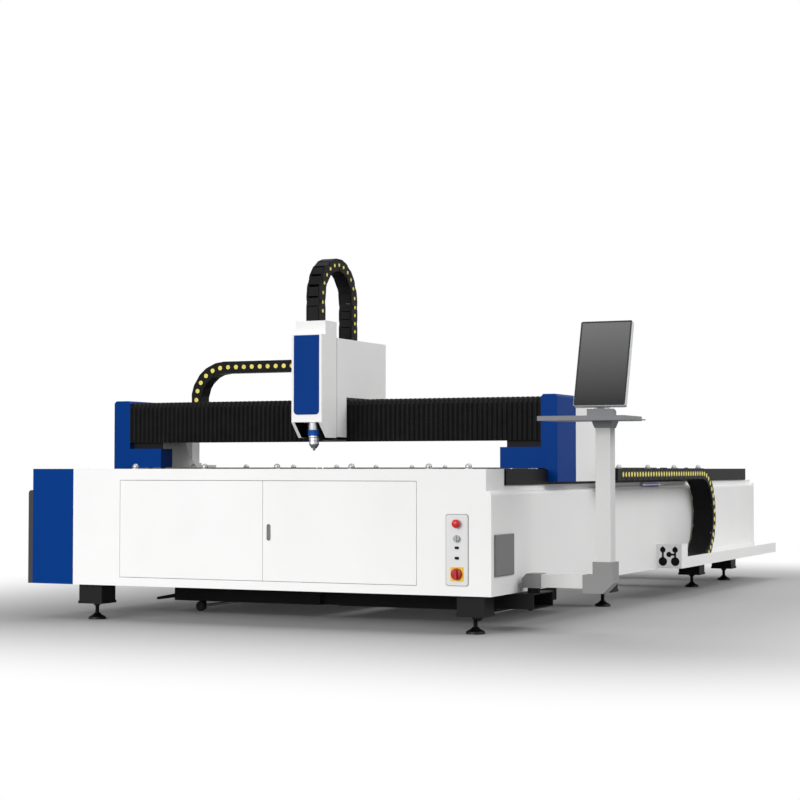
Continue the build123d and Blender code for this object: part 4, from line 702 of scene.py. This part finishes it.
# Cross chain behind the beam
runs_low, runs_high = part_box("x_chain_runs")
turn_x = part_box("x_chain_loop")[1].x
housing_low, housing_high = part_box("carriage_housing")
carriage_left = housing_low.x
carriage_right = housing_high.x
anchor_x = runs_high.x
high_z = runs_high.z - HALF_LINK
low_z = runs_low.z + HALF_LINK
x_radius = (high_z - low_z) / 2
x_span = (runs_low.y, runs_high.y)
upper_joints = along_line(
    Vector((turn_x, high_z)), Vector((carriage_left - HALF_LINK, high_z)), links_in(carriage_left - turn_x)
)
x_upper = chain("cross_chain_upper_run", upper_joints, in_xz, x_span, CROSS_PIN, flat_ends=(False, True))
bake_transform(x_upper)
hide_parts("x_chain_runs")
lower_joints = along_line(
    Vector((turn_x, low_z)), Vector((anchor_x - HALF_LINK, low_z)), links_in(anchor_x - turn_x)
)
x_lower = chain("cross_chain_lower_run", lower_joints, in_xz, x_span, CROSS_PIN, flat_ends=(False, True))
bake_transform(x_lower)
loop_joints = arc_points(
    (turn_x, low_z + x_radius), x_radius, links_in(math.pi * x_radius) + 1, math.pi / 2, math.pi
)
x_loop = chain("cross_chain_loop", loop_joints, in_xz, x_span, CROSS_PIN, LOOP_INSET)
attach(x_loop, "x_chain_loop")
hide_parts("x_chain_loop")

# Lift chain from the carriage housing into the front cover
lift_low, lift_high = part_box("z_chain")
housing_top = housing_high.z
cover_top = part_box("front_cover")[1].z
front_leg = lift_low.y + HALF_LINK
rear_leg = lift_high.y - HALF_LINK
lift_radius = (rear_leg - front_leg) / 2
arch_z = lift_high.z - HALF_LINK - lift_radius
front_joints = along_line(
    Vector((front_leg, cover_top + HALF_LINK)), Vector((front_leg, arch_z)), links_in(arch_z - cover_top)
)
arch_centre = ((front_leg + rear_leg) / 2, arch_z)
arch_count = links_in(math.pi * lift_radius) + 1
arch_joints = arc_points(arch_centre, lift_radius, arch_count, math.pi, -math.pi)
rear_joints = along_line(
    Vector((rear_leg, arch_z)), Vector((rear_leg, housing_top + HALF_LINK)), links_in(arch_z - housing_top)
)
lift_joints = front_joints + arch_joints[1:] + rear_joints[1:]
z_chain = chain(
    "lift_chain", lift_joints, in_yz, (lift_low.x, lift_high.x), LIFT_PIN, flat_ends=(True, True)
)
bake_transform(z_chain)
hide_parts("z_chain")


# Bellows over the beam: folded cloth hood in two halves
PLEAT_PITCH = 0.030
PLEAT_DEPTH = 0.013
RIDGE_SHARE = 0.16
CLOTH_THICKNESS = 0.002
HOOD_CHAMFER = 0.030
HOOD_REAR_DROP = 0.030
FOLD_LEAN = 0.4


def bellows_builder(start_x, end_x, low, high):
    """Mesh builder for one half of the hood, pleated along X; each outline point has its way inward."""
    shoulder = high.z - HOOD_CHAMFER
    outline = [
        (low.y, low.z, 1, 0),
        (low.y, shoulder, 1, -FOLD_LEAN),
        (low.y + HOOD_CHAMFER, high.z, FOLD_LEAN, -1),
        (high.y - HOOD_CHAMFER, high.z, -FOLD_LEAN, -1),
        (high.y, shoulder, -1, -FOLD_LEAN),
        (high.y, shoulder - HOOD_REAR_DROP, -1, 0),
    ]
    count = round(abs(end_x - start_x) / PLEAT_PITCH)
    pitch = (end_x - start_x) / count
    wave = ((0, 0), (RIDGE_SHARE, 0), (0.5, PLEAT_DEPTH), (0.5 + RIDGE_SHARE, PLEAT_DEPTH))
    steps = [
        (start_x + (index + share) * pitch, depth) for index in range(count) for share, depth in wave
    ]
    steps.append((end_x, 0))

    def build(shape):
        sheets = [
            [
                [
                    shape.verts.new((x, y + (depth + inset) * inward_y, z + (depth + inset) * inward_z))
                    for y, z, inward_y, inward_z in outline
                ]
                for x, depth in steps
            ]
            for inset in (0, CLOTH_THICKNESS)
        ]
        for sheet in sheets:
            for row, following in zip(sheet, sheet[1:]):
                for quad in zip(row, row[1:], following[1:], following):
                    shape.faces.new(quad)
        outer, inner = sheets
        for edge in (0, -1):
            for index in range(len(steps) - 1):
                shape.faces.new((
                    outer[index][edge], outer[index + 1][edge], inner[index + 1][edge], inner[index][edge]
                ))
            for quad in zip(outer[edge], outer[edge][1:], inner[edge][1:], inner[edge]):
                shape.faces.new(quad)
    return build


hood_low, hood_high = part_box("bellows")
for name, start_x, end_x in (
    ("left_bellows", hood_low.x, carriage_left), ("right_bellows", hood_high.x, carriage_right),
):
    builder = bellows_builder(start_x, end_x, hood_low, hood_high)
    hood = piece(name, builder, [bellows_cloth])
    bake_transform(hood)
    if start_x == hood_low.x:
        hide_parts("bellows")


# Ball transfer units: cup with a rim and a steel ball
BALL_REACH = 0.08
CUP_HEIGHT_SHARE = 0.47
CUP_SHARES = ((0, 0), (1, 0), (1, 0.8), (0.93, 1), (0.74, 1), (0, 0.9))
BALL_SHARE = 0.76
BALL_STEPS = 12
BALL_START = math.radians(-20)
BALL_SWEEP = math.radians(100)


def ball_builder(shape):
    """Cups and balls of the whole table."""
    for low, high in islands("ball_transfers", BALL_REACH):
        centre = ((low.x + high.x) / 2, (low.y + high.y) / 2, low.z)
        cup = (high.x - low.x) / 2
        top = high.z - low.z
        ball = cup * BALL_SHARE
        seat = top - ball
        lathe(shape, scaled(CUP_SHARES, cup, top * CUP_HEIGHT_SHARE), centre, material=1)
        dome = arc_points((0, seat), ball, BALL_STEPS, BALL_START, BALL_SWEEP)
        lathe(shape, [(0, dome[0].y), *dome, (0, top)], centre)


balls = piece("ball_transfer_units", ball_builder, [ball_steel, cup_steel], WIDE_SHARP_ANGLE)
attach(balls, "bed")
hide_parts("ball_transfers")


# Levelling feet: pad with a swivel cone, threaded stem and lock nut
FOOT_REACH = 0.15
PAD_PROFILE = (
    (0, 0), (1, 0), (1, 0.010), (0.92, 0.015), (0.58, 0.023), (0.40, 0.030), (0.32, 0.036), (0, 0.036),
)
STEM_FOOT = 0.030
STEM_RADIUS = 0.0115
THREAD_START = 0.034
THREAD_DEPTH = 0.001
THREAD_PITCH = 0.004
NUT_RADIUS = 0.020
NUT_CHAMFER = 0.002
NUT_HEIGHT = 0.014


def feet_builder(shape):
    """All feet of the bed; the pad's profile is in shares of its radius and in metres of height."""
    for low, high in islands("levelling_feet", FOOT_REACH):
        centre = ((low.x + high.x) / 2, (low.y + high.y) / 2, low.z)
        pad = (high.x - low.x) / 2
        top = high.z - low.z
        lathe(shape, scaled(PAD_PROFILE, pad), centre)
        stem = [(0, STEM_FOOT)]
        turn = THREAD_START
        while turn < top - THREAD_PITCH:
            stem += [(STEM_RADIUS, turn), (STEM_RADIUS - THREAD_DEPTH, turn + THREAD_PITCH / 2)]
            turn += THREAD_PITCH
        lathe(shape, [*stem, (STEM_RADIUS, top), (0, top)], centre, segments=18)
        nut_low = top - NUT_HEIGHT
        lathe(shape, [
            (0, nut_low), (NUT_RADIUS - NUT_CHAMFER, nut_low), (NUT_RADIUS, nut_low + NUT_CHAMFER),
            (NUT_RADIUS, top), (0, top),
        ], centre, segments=6)


feet = piece("levelling_feet_turned", feet_builder, [foot_black], WIDE_SHARP_ANGLE)
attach(feet, "bed")
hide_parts("levelling_feet")


# Toothed slats that carry the sheet
SLAT_TEETH = 24
SLAT_REACH = 0.050
TOOTH_HEIGHT = 0.036
TIP_SHARE = 0.28


def slat_builder(shape):
    """Every slat as a thin plate with blunt teeth; every second slat is set off by half a tooth."""
    for row, (low, high) in enumerate(islands("slats", SLAT_REACH, LENGTHWISE)):
        pitch = (high.x - low.x) / SLAT_TEETH
        set_off = row % 2
        root = high.z - TOOTH_HEIGHT
        outline = [(low.x, low.z), (high.x, low.z)]
        if set_off:
            outline.append((high.x, root))
        for index in reversed(range(SLAT_TEETH - set_off)):
            left = low.x + (index + set_off / 2) * pitch
            outline.append((left + pitch, root))
            outline.append((left + pitch * (0.5 + TIP_SHARE / 2), high.z))
            outline.append((left + pitch * (0.5 - TIP_SHARE / 2), high.z))
        if set_off:
            outline.append((low.x + pitch / 2, root))
        outline.append((low.x, root))
        plate(shape, outline, in_xz, low.y, high.y)


slats = piece("toothed_slats", slat_builder, [slat_steel])
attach(slats, "bed")
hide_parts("slats")


# Cutting head: clamped body, collar, barrel, cone and copper nozzle
HEAD_SIDES = 36
HEAD_BEVEL = 0.004
BODY_FOOT_SHARE = 0.96
BODY_TOP_SHARE = 0.94
BARREL_RADIUS = 0.029
CONE_PROFILE = (
    (0, 0.012), (0.0155, 0.013), (0.0165, 0.016), (0.0285, 0.034), (BARREL_RADIUS, 0.038),
    (BARREL_RADIUS, 0.052), (0.0275, 0.054), (0.0275, 0.058), (BARREL_RADIUS, 0.060),
)
COLLAR_PROFILE = ((0, -0.014), (0.031, -0.014), (0.033, -0.011), (0.033, -0.003), (0.031, 0), (0, 0))
NOZZLE_PROFILE = ((0, 0), (0.0045, 0), (0.0055, 0.003), (0.009, 0.010), (0.009, 0.014), (0, 0.014))
RING_LIP = ((0, 0), (0.95, 0), (1, 0.003), (1, 0.009), (0.97, 0.011))


def head_builder(shape):
    """Turned stack of the cutting head."""
    low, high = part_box("cutting_head")
    ring_low, ring_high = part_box("sensor_ring")
    centre = ((low.x + high.x) / 2, (low.y + high.y) / 2, 0)
    body = (high.x - low.x) / 2
    tip = low.z
    foot = ring_high.z
    lathe(shape, [
        (0, foot), (body * BODY_FOOT_SHARE, foot), (body, foot + HEAD_BEVEL), (body, high.z - HEAD_BEVEL),
        (body * BODY_TOP_SHARE, high.z), (0, high.z),
    ], centre)
    barrel = [*raised(CONE_PROFILE, tip), (BARREL_RADIUS, foot), (0, foot)]
    lathe(shape, barrel, centre, segments=HEAD_SIDES)
    lathe(shape, raised(COLLAR_PROFILE, ring_low.z), centre, segments=HEAD_SIDES)
    lathe(shape, raised(NOZZLE_PROFILE, tip), centre, material=1)


head = piece("cutting_head_turned", head_builder, [anodised, copper], SHARP_ANGLE)
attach(head, "head")
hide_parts("cutting_head")


def ring_builder(shape):
    """Blue sensor ring with two bevelled lips."""
    low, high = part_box("sensor_ring")
    centre = ((low.x + high.x) / 2, (low.y + high.y) / 2, 0)
    lip = scaled(RING_LIP, (high.x - low.x) / 2)
    lathe(shape, both_ends(lip, low.z, high.z), centre, segments=HEAD_SIDES)


ring = piece("sensor_ring_turned", ring_builder, [ring_blue], SHARP_ANGLE)
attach(ring, "head")
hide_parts("sensor_ring")


# Controls on the front
CONTROL_SIDES = 40
STOP_SHARES = (
    (0, 0), (0.5, 0), (0.5, 0.33), (0.97, 0.35), (1, 0.42), (1, 0.60), (0.96, 0.70), (0.85, 0.82),
    (0.68, 0.92), (0.42, 0.98), (0, 1),
)
KNOB_SHARES = ((0, 0), (1, 0), (1, 0.7), (0.95, 0.95), (0.88, 1), (0, 1))
GRIP_FOOT = 0.94
GRIP_SHOULDER = 0.86
GRIP_TIP = 0.98
KNOB_BEVEL = 0.001


def stop_builder(shape):
    """Mushroom button with a domed cap."""
    low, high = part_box("emergency_button")
    centre = ((low.x + high.x) / 2, high.y, (low.z + high.z) / 2)
    profile = scaled(STOP_SHARES, (high.x - low.x) / 2, high.y - low.y)
    lathe(shape, profile, centre, "front", CONTROL_SIDES)


stop = piece("emergency_mushroom", stop_builder, [red], SHARP_ANGLE)
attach(stop, "emergency_button")
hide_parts("emergency_button")


def knob_builder(node, disc_share, grip_share):
    """Mesh builder for a round knob with a bar grip across its face."""
    low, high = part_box(node)
    centre = ((low.x + high.x) / 2, high.y, (low.z + high.z) / 2)
    radius = (high.z - low.z) / 2
    rim = (high.y - low.y) * disc_share
    half_grip = radius * grip_share

    def build(shape):
        lathe(shape, scaled(KNOB_SHARES, radius, rim), centre, "front", CONTROL_SIDES)
        foot, shoulder = -radius * GRIP_FOOT, radius * GRIP_SHOULDER
        grip = (
            (-half_grip, foot), (half_grip, foot), (half_grip, shoulder), (0, radius * GRIP_TIP),
            (-half_grip, shoulder),
        )
        outline = [(centre[0] + across, centre[2] + up) for across, up in grip]
        plate(shape, outline, in_xz, low.y, high.y - rim)
    return build


for name, node, finish, slot, disc_share, grip_share in (
    ("key_knob", "key_switch", knob_grey, "grey_plastic", 0.70, 0.22),
    ("main_switch_knob", "main_switch", dark_red, "red_plastic", 0.50, 0.27),
):
    knob = piece(name, knob_builder(node, disc_share, grip_share), [finish], SHARP_ANGLE)
    soften(knob, KNOB_BEVEL)
    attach(knob, node)
    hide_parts(node)


# Cart wheels: tyre, hub and axle
WHEEL_WIDTH = 0.0275
HUB_PROFILE = ((0, 0.004), (0.012, 0.002), (0.016, 0))
TYRE_PROFILE = ((0.80, 0), (0.95, 0.003), (1, 0.008))
AXLE_RADIUS = 0.009
AXLE_INSET = 0.004


def wheels_builder(node):
    """Mesh builder for one axle with its two wheels."""
    low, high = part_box(node)
    radius = (high.z - low.z) / 2
    middle_x = (low.x + high.x) / 2

    def build(shape):
        profile = both_ends([*HUB_PROFILE, *scaled(TYRE_PROFILE, radius)], 0, WHEEL_WIDTH)
        for face_y in (low.y, high.y - WHEEL_WIDTH):
            lathe(shape, profile, (middle_x, face_y, low.z + radius), "rear", segments=32)
        length = high.y - low.y - 2 * AXLE_INSET
        axle = [(0, 0), (AXLE_RADIUS, 0), (AXLE_RADIUS, length), (0, length)]
        axle_start = (middle_x, low.y + AXLE_INSET, low.z + radius)
        lathe(shape, axle, axle_start, "rear", segments=20, material=1)
    return build


for name in ("front_wheels", "rear_wheels"):
    materials = [rubber, ground_steel]
    wheels = piece(name + "_turned", wheels_builder(name), materials, SHARP_ANGLE)
    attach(wheels, name)
    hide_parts(name)


# Front cover of the head: folded shell, stepped cap, side walls cut back below the panel
COVER_SHEET = 0.003
COVER_ARCH = 1.112
COVER_CUT = 0.087
COVER_LIP = 0.016
SHADE_LINER_RISE = 0.150
SHADE_LINER_GAP = 0.0005
CAP_HEIGHT = 0.079
CAP_SET_BACK = 0.050
COVER_BEVEL = 0.0015


def cover_builder(shape):
    """Walls of the cover, its cap, the lips along the cut and a dark liner inside that paints the shade
    there.
    """
    low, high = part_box("front_cover")
    ledge = high.z - CAP_HEIGHT
    cap_y = low.y + CAP_SET_BACK
    cut_y = low.y + COVER_CUT
    side = [
        (low.y, COVER_ARCH), (low.y, ledge), (cap_y, ledge), (cap_y, high.z), (high.y, high.z),
        (high.y, low.z), (cut_y, low.z),
    ]
    plate(shape, side, in_yz, low.x, low.x + COVER_SHEET)
    plate(shape, side, in_yz, high.x - COVER_SHEET, high.x)
    inner = (low.x + COVER_SHEET, high.x - COVER_SHEET)
    for first, second in (
        ((low.y, COVER_ARCH), (low.y + COVER_SHEET, ledge)),
        ((low.y + COVER_SHEET, ledge - COVER_SHEET), (cap_y + COVER_SHEET, ledge)),
        ((cap_y, ledge), (cap_y + COVER_SHEET, high.z)),
        ((cap_y + COVER_SHEET, high.z - COVER_SHEET), (high.y, high.z)),
    ):
        wall = [first, (second[0], first[1]), second, (first[0], second[1])]
        plate(shape, wall, in_yz, *inner)
    lip = [
        (low.y, COVER_ARCH), (cut_y, low.z),
        (cut_y + COVER_SHEET, low.z), (low.y + COVER_SHEET, COVER_ARCH),
    ]
    plate(shape, lip, in_yz, inner[0], inner[0] + COVER_LIP)
    plate(shape, lip, in_yz, inner[1] - COVER_LIP, inner[1])
    shroud = [
        (high.y - COVER_SHEET, low.z), (high.y, low.z), (high.y, ledge), (high.y - COVER_SHEET, ledge),
    ]
    plate(shape, shroud, in_yz, *inner, material=1)
    # dark liner on the inner faces of the walls: painted shade inside the cover
    inset = 2 * COVER_SHEET
    shade_liner_top = COVER_ARCH + SHADE_LINER_RISE
    shade_liner_foot = low.z + COVER_SHEET
    shade_liner = [
        (low.y + inset, COVER_ARCH), (low.y + inset, shade_liner_top), (high.y - inset, shade_liner_top),
        (high.y - inset, shade_liner_foot), (cut_y + inset, shade_liner_foot),
    ]
    plate(shape, shade_liner, in_yz, inner[0] + SHADE_LINER_GAP, inner[0] + SHADE_LINER_GAP * 2, material=1)
    plate(shape, shade_liner, in_yz, inner[1] - SHADE_LINER_GAP * 2, inner[1] - SHADE_LINER_GAP, material=1)


cover = piece("front_cover_folded", cover_builder, [white, black_plastic])
soften(cover, COVER_BEVEL)
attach(cover, "head")
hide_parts("front_cover")


# Dark strips in front of the saddles, under the bellows: painted shade where the bellows shade the saddles
SHADE_STRIP_RISE = 0.06
SHADE_STRIP_FRONT = 0.004
SHADE_STRIP_GAP = 0.0005


def shade_strip_builder(shape):
    """One dark strip of painted shade for each saddle."""
    middle = (hood_low.x + hood_high.x) / 2
    points = [vertex.co.copy() for vertex in nodes["gantry_saddles"].data.vertices]
    for group in ([p for p in points if p.x < middle], [p for p in points if p.x > middle]):
        low, high = box_of(group)
        foot = low.z + SHADE_STRIP_RISE
        strip = [(low.x, foot), (high.x, foot), (high.x, high.z), (low.x, high.z)]
        plate(shape, strip, in_xz, low.y - SHADE_STRIP_FRONT, low.y - SHADE_STRIP_GAP)


shade_strips = piece("saddle_shade_strips", shade_strip_builder, [black_plastic])
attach(shade_strips, "gantry")


# Control plate trim: gasket line around the plate and black port covers
GASKET = 0.0028
GASKET_FRONT = 0.0022
GASKET_GAP = 0.0002
CORNER_STEPS = 5
PLATE_CORNER = 0.010
PORT_SHARES = (0.533, 0.387)
PORT_SIZE = (0.024, 0.014)
PORT_ROUND_SHARE = 0.45
PORT_PROUD = 0.0006
PORT_SEAT = 0.0042


def rounded_rectangle(centre, size, radius):
    """Outline with round corners."""
    outline = []
    for turn, (side, level) in enumerate(((1, 1), (-1, 1), (-1, -1), (1, -1))):
        corner = (
            centre[0] + side * (size[0] / 2 - radius), centre[1] + level * (size[1] / 2 - radius)
        )
        outline += arc_points(corner, radius, CORNER_STEPS, turn * math.pi / 2, math.pi / 2)
    return outline


def frame_plate(shape, outer, inner, place, low, high):
    """Flat ring between two outlines with the same number of points."""
    loops = [
        [shape.verts.new(place(u, v, level)) for u, v in outline]
        for outline, level in ((outer, low), (outer, high), (inner, high), (inner, low))
    ]
    for ring, following in zip(loops, loops[1:] + loops[:1]):
        for index in range(len(ring)):
            after = (index + 1) % len(ring)
            shape.faces.new((ring[index], ring[after], following[after], following[index]))


def gasket_builder(shape):
    """Ring around the control plate."""
    low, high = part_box("control_plate")
    centre = ((low.x + high.x) / 2, (low.z + high.z) / 2)
    size = (high.x - low.x, high.z - low.z)
    around = (size[0] + 2 * GASKET, size[1] + 2 * GASKET)
    outer = rounded_rectangle(centre, around, PLATE_CORNER + GASKET)
    inner = rounded_rectangle(centre, size, PLATE_CORNER)
    frame_plate(shape, outer, inner, in_xz, high.y - GASKET_FRONT, high.y - GASKET_GAP)


gasket = piece("control_gasket", gasket_builder, [plate_grey])
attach(gasket, "bed")


def ports_builder(shape):
    """Two oval covers."""
    low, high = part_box("control_plate")
    for share in PORT_SHARES:
        centre = ((low.x + high.x) / 2, low.z + share * (high.z - low.z))
        outline = rounded_rectangle(centre, PORT_SIZE, PORT_SIZE[1] * PORT_ROUND_SHARE)
        plate(shape, outline, in_xz, low.y - PORT_PROUD, high.y - PORT_SEAT)


ports = piece("port_covers", ports_builder, [black_plastic])
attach(ports, "bed")


# Painted shade inside the chain tray's entry box: a dark sheet behind the cut-outs
BACKING_WALL = 0.004
BACKING_TOP_GAP = 0.001
BACKING_FRONT = 0.006
BACKING_REAR = 0.010


def entry_shade_builder(shape):
    """Dark sheet behind the cut-outs of the end plate that paints the shade inside the box."""
    low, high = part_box("chain_tray")
    left, right = low.x + BACKING_WALL, high.x - BACKING_WALL
    bottom, top = low.z + BACKING_WALL, high.z - BACKING_TOP_GAP
    sheet = [(left, bottom), (right, bottom), (right, top), (left, top)]
    plate(shape, sheet, in_xz, low.y + BACKING_FRONT, low.y + BACKING_REAR)


entry_shade = piece("entry_shade_sheet", entry_shade_builder, [black_plastic])
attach(entry_shade, "bed")


# Air cylinder under the right rail: barrel and end caps
END_CAP_SHARE = 0.10
END_CAP_EDGE = 0.86
END_CAP_RADIUS = 0.92
END_CAP_BEVEL = 0.002


def cylinder_builder(shape):
    """Barrel between two caps."""
    low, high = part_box("side_cylinder")
    radius = (high.z - low.z) / 2
    length = high.y - low.y
    cap = length * END_CAP_SHARE
    centre = ((low.x + high.x) / 2, low.y, (low.z + high.z) / 2)
    lathe(shape, [(0, cap), (radius, cap), (radius, length - cap), (0, length - cap)], centre, "rear")
    end_radius = radius * END_CAP_RADIUS
    for start in (0, length - cap):
        lathe(shape, [
            (0, start), (radius * END_CAP_EDGE, start), (end_radius, start + END_CAP_BEVEL),
            (end_radius, start + cap), (0, start + cap),
        ], centre, "rear", material=1)


cylinder = piece("air_cylinder", cylinder_builder, [lilac, anodised], SHARP_ANGLE)
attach(cylinder, "bed")
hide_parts("side_cylinder")


# Dark glass rim around the screen
RIM_WIDTH = 0.0075
RIM_THICKNESS = 0.0012
RIM_GAP = 0.0004
RIM_CORNER = 0.008
GLASS_CORNER = 0.002
FACING_FRONT = -0.5


def rim_builder(shape):
    """Flat ring on the front of the tilted monitor."""
    mesh = nodes["screen"].data
    face = max((f for f in mesh.polygons if f.normal.y < FACING_FRONT), key=lambda f: f.area)
    normal = face.normal.copy()
    up = normal.cross(Vector((1, 0, 0)))
    up = up.normalized() if up.z > 0 else -up.normalized()
    level = max(vertex.co.dot(normal) for vertex in mesh.vertices)
    across = [vertex.co.x for vertex in mesh.vertices]
    rises = [vertex.co.dot(up) for vertex in mesh.vertices]
    half_width = (max(across) - min(across)) / 2
    half_height = (max(rises) - min(rises)) / 2
    base = Vector((min(across) + half_width, 0, 0)) + up * (min(rises) + half_height) + normal * level

    def on_glass(u, v, w):
        return base + Vector((u, 0, 0)) + up * v + normal * w

    around = (2 * (half_width + RIM_WIDTH), 2 * (half_height + RIM_WIDTH))
    outer = rounded_rectangle((0, 0), around, RIM_CORNER)
    inner = rounded_rectangle((0, 0), (2 * half_width, 2 * half_height), GLASS_CORNER)
    frame_plate(shape, outer, inner, on_glass, RIM_GAP, RIM_THICKNESS)


rim = piece("screen_rim", rim_builder, [bezel_dark])
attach(rim, "monitor")


# Folded cover around the neck, up to just below the monitor at any tilt
NECK_FLOOR = 1.130
NECK_SHEET = 0.003
NECK_RISE = 0.012


def neck_cover_builder(shape):
    """Sheet in front of the hinge with a cheek on either side."""
    points = [vertex.co for vertex in nodes["console_tray"].data.vertices]
    low, high = box_of([point for point in points if point.z > NECK_FLOOR])
    bottom = max(point.z for point in points if point.z < NECK_FLOOR)
    top = low.z + NECK_RISE
    left, right, front = low.x - NECK_SHEET, high.x + NECK_SHEET, low.y - NECK_SHEET
    face = [(left, bottom), (right, bottom), (right, top), (left, top)]
    plate(shape, face, in_xz, front, low.y)
    cheek = [(low.y, bottom), (high.y, bottom), (high.y, low.z), (low.y, top)]
    plate(shape, cheek, in_yz, left, low.x)
    plate(shape, cheek, in_yz, high.x, right)


neck_cover = piece("neck_cover", neck_cover_builder, [tray_grey])
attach(neck_cover, "console_arm")


# Rounded edges on the sheet-metal nodes
SOFT_EDGES = {
    "front_cabinet": 0.003, "left_end_cabinet": 0.004, "left_door": 0.0012, "right_door": 0.0012,
    "rear_housings": 0.004, "end_covers": 0.004, "carriage_housing": 0.003,
    "head_panel": 0.001, "arm_tubes": 0.005, "arm_elbows": 0.007, "console_tray": 0.003,
    "monitor_housing": 0.003, "control_plate": 0.0012, "switch_plate": 0.0008, "side_plate": 0.001,
    "slag_cart": 0.002, "table_frame": 0.003, "rail_beams": 0.002, "gantry_saddles": 0.005,
    "chain_tray": 0.001, "y_motors": 0.005, "console_bracket": 0.002, "bed_frame": 0.003,
    "laser_source": 0.003, "left_guard": 0.003,
}
for name, width in SOFT_EDGES.items():
    soften(nodes[name], width)
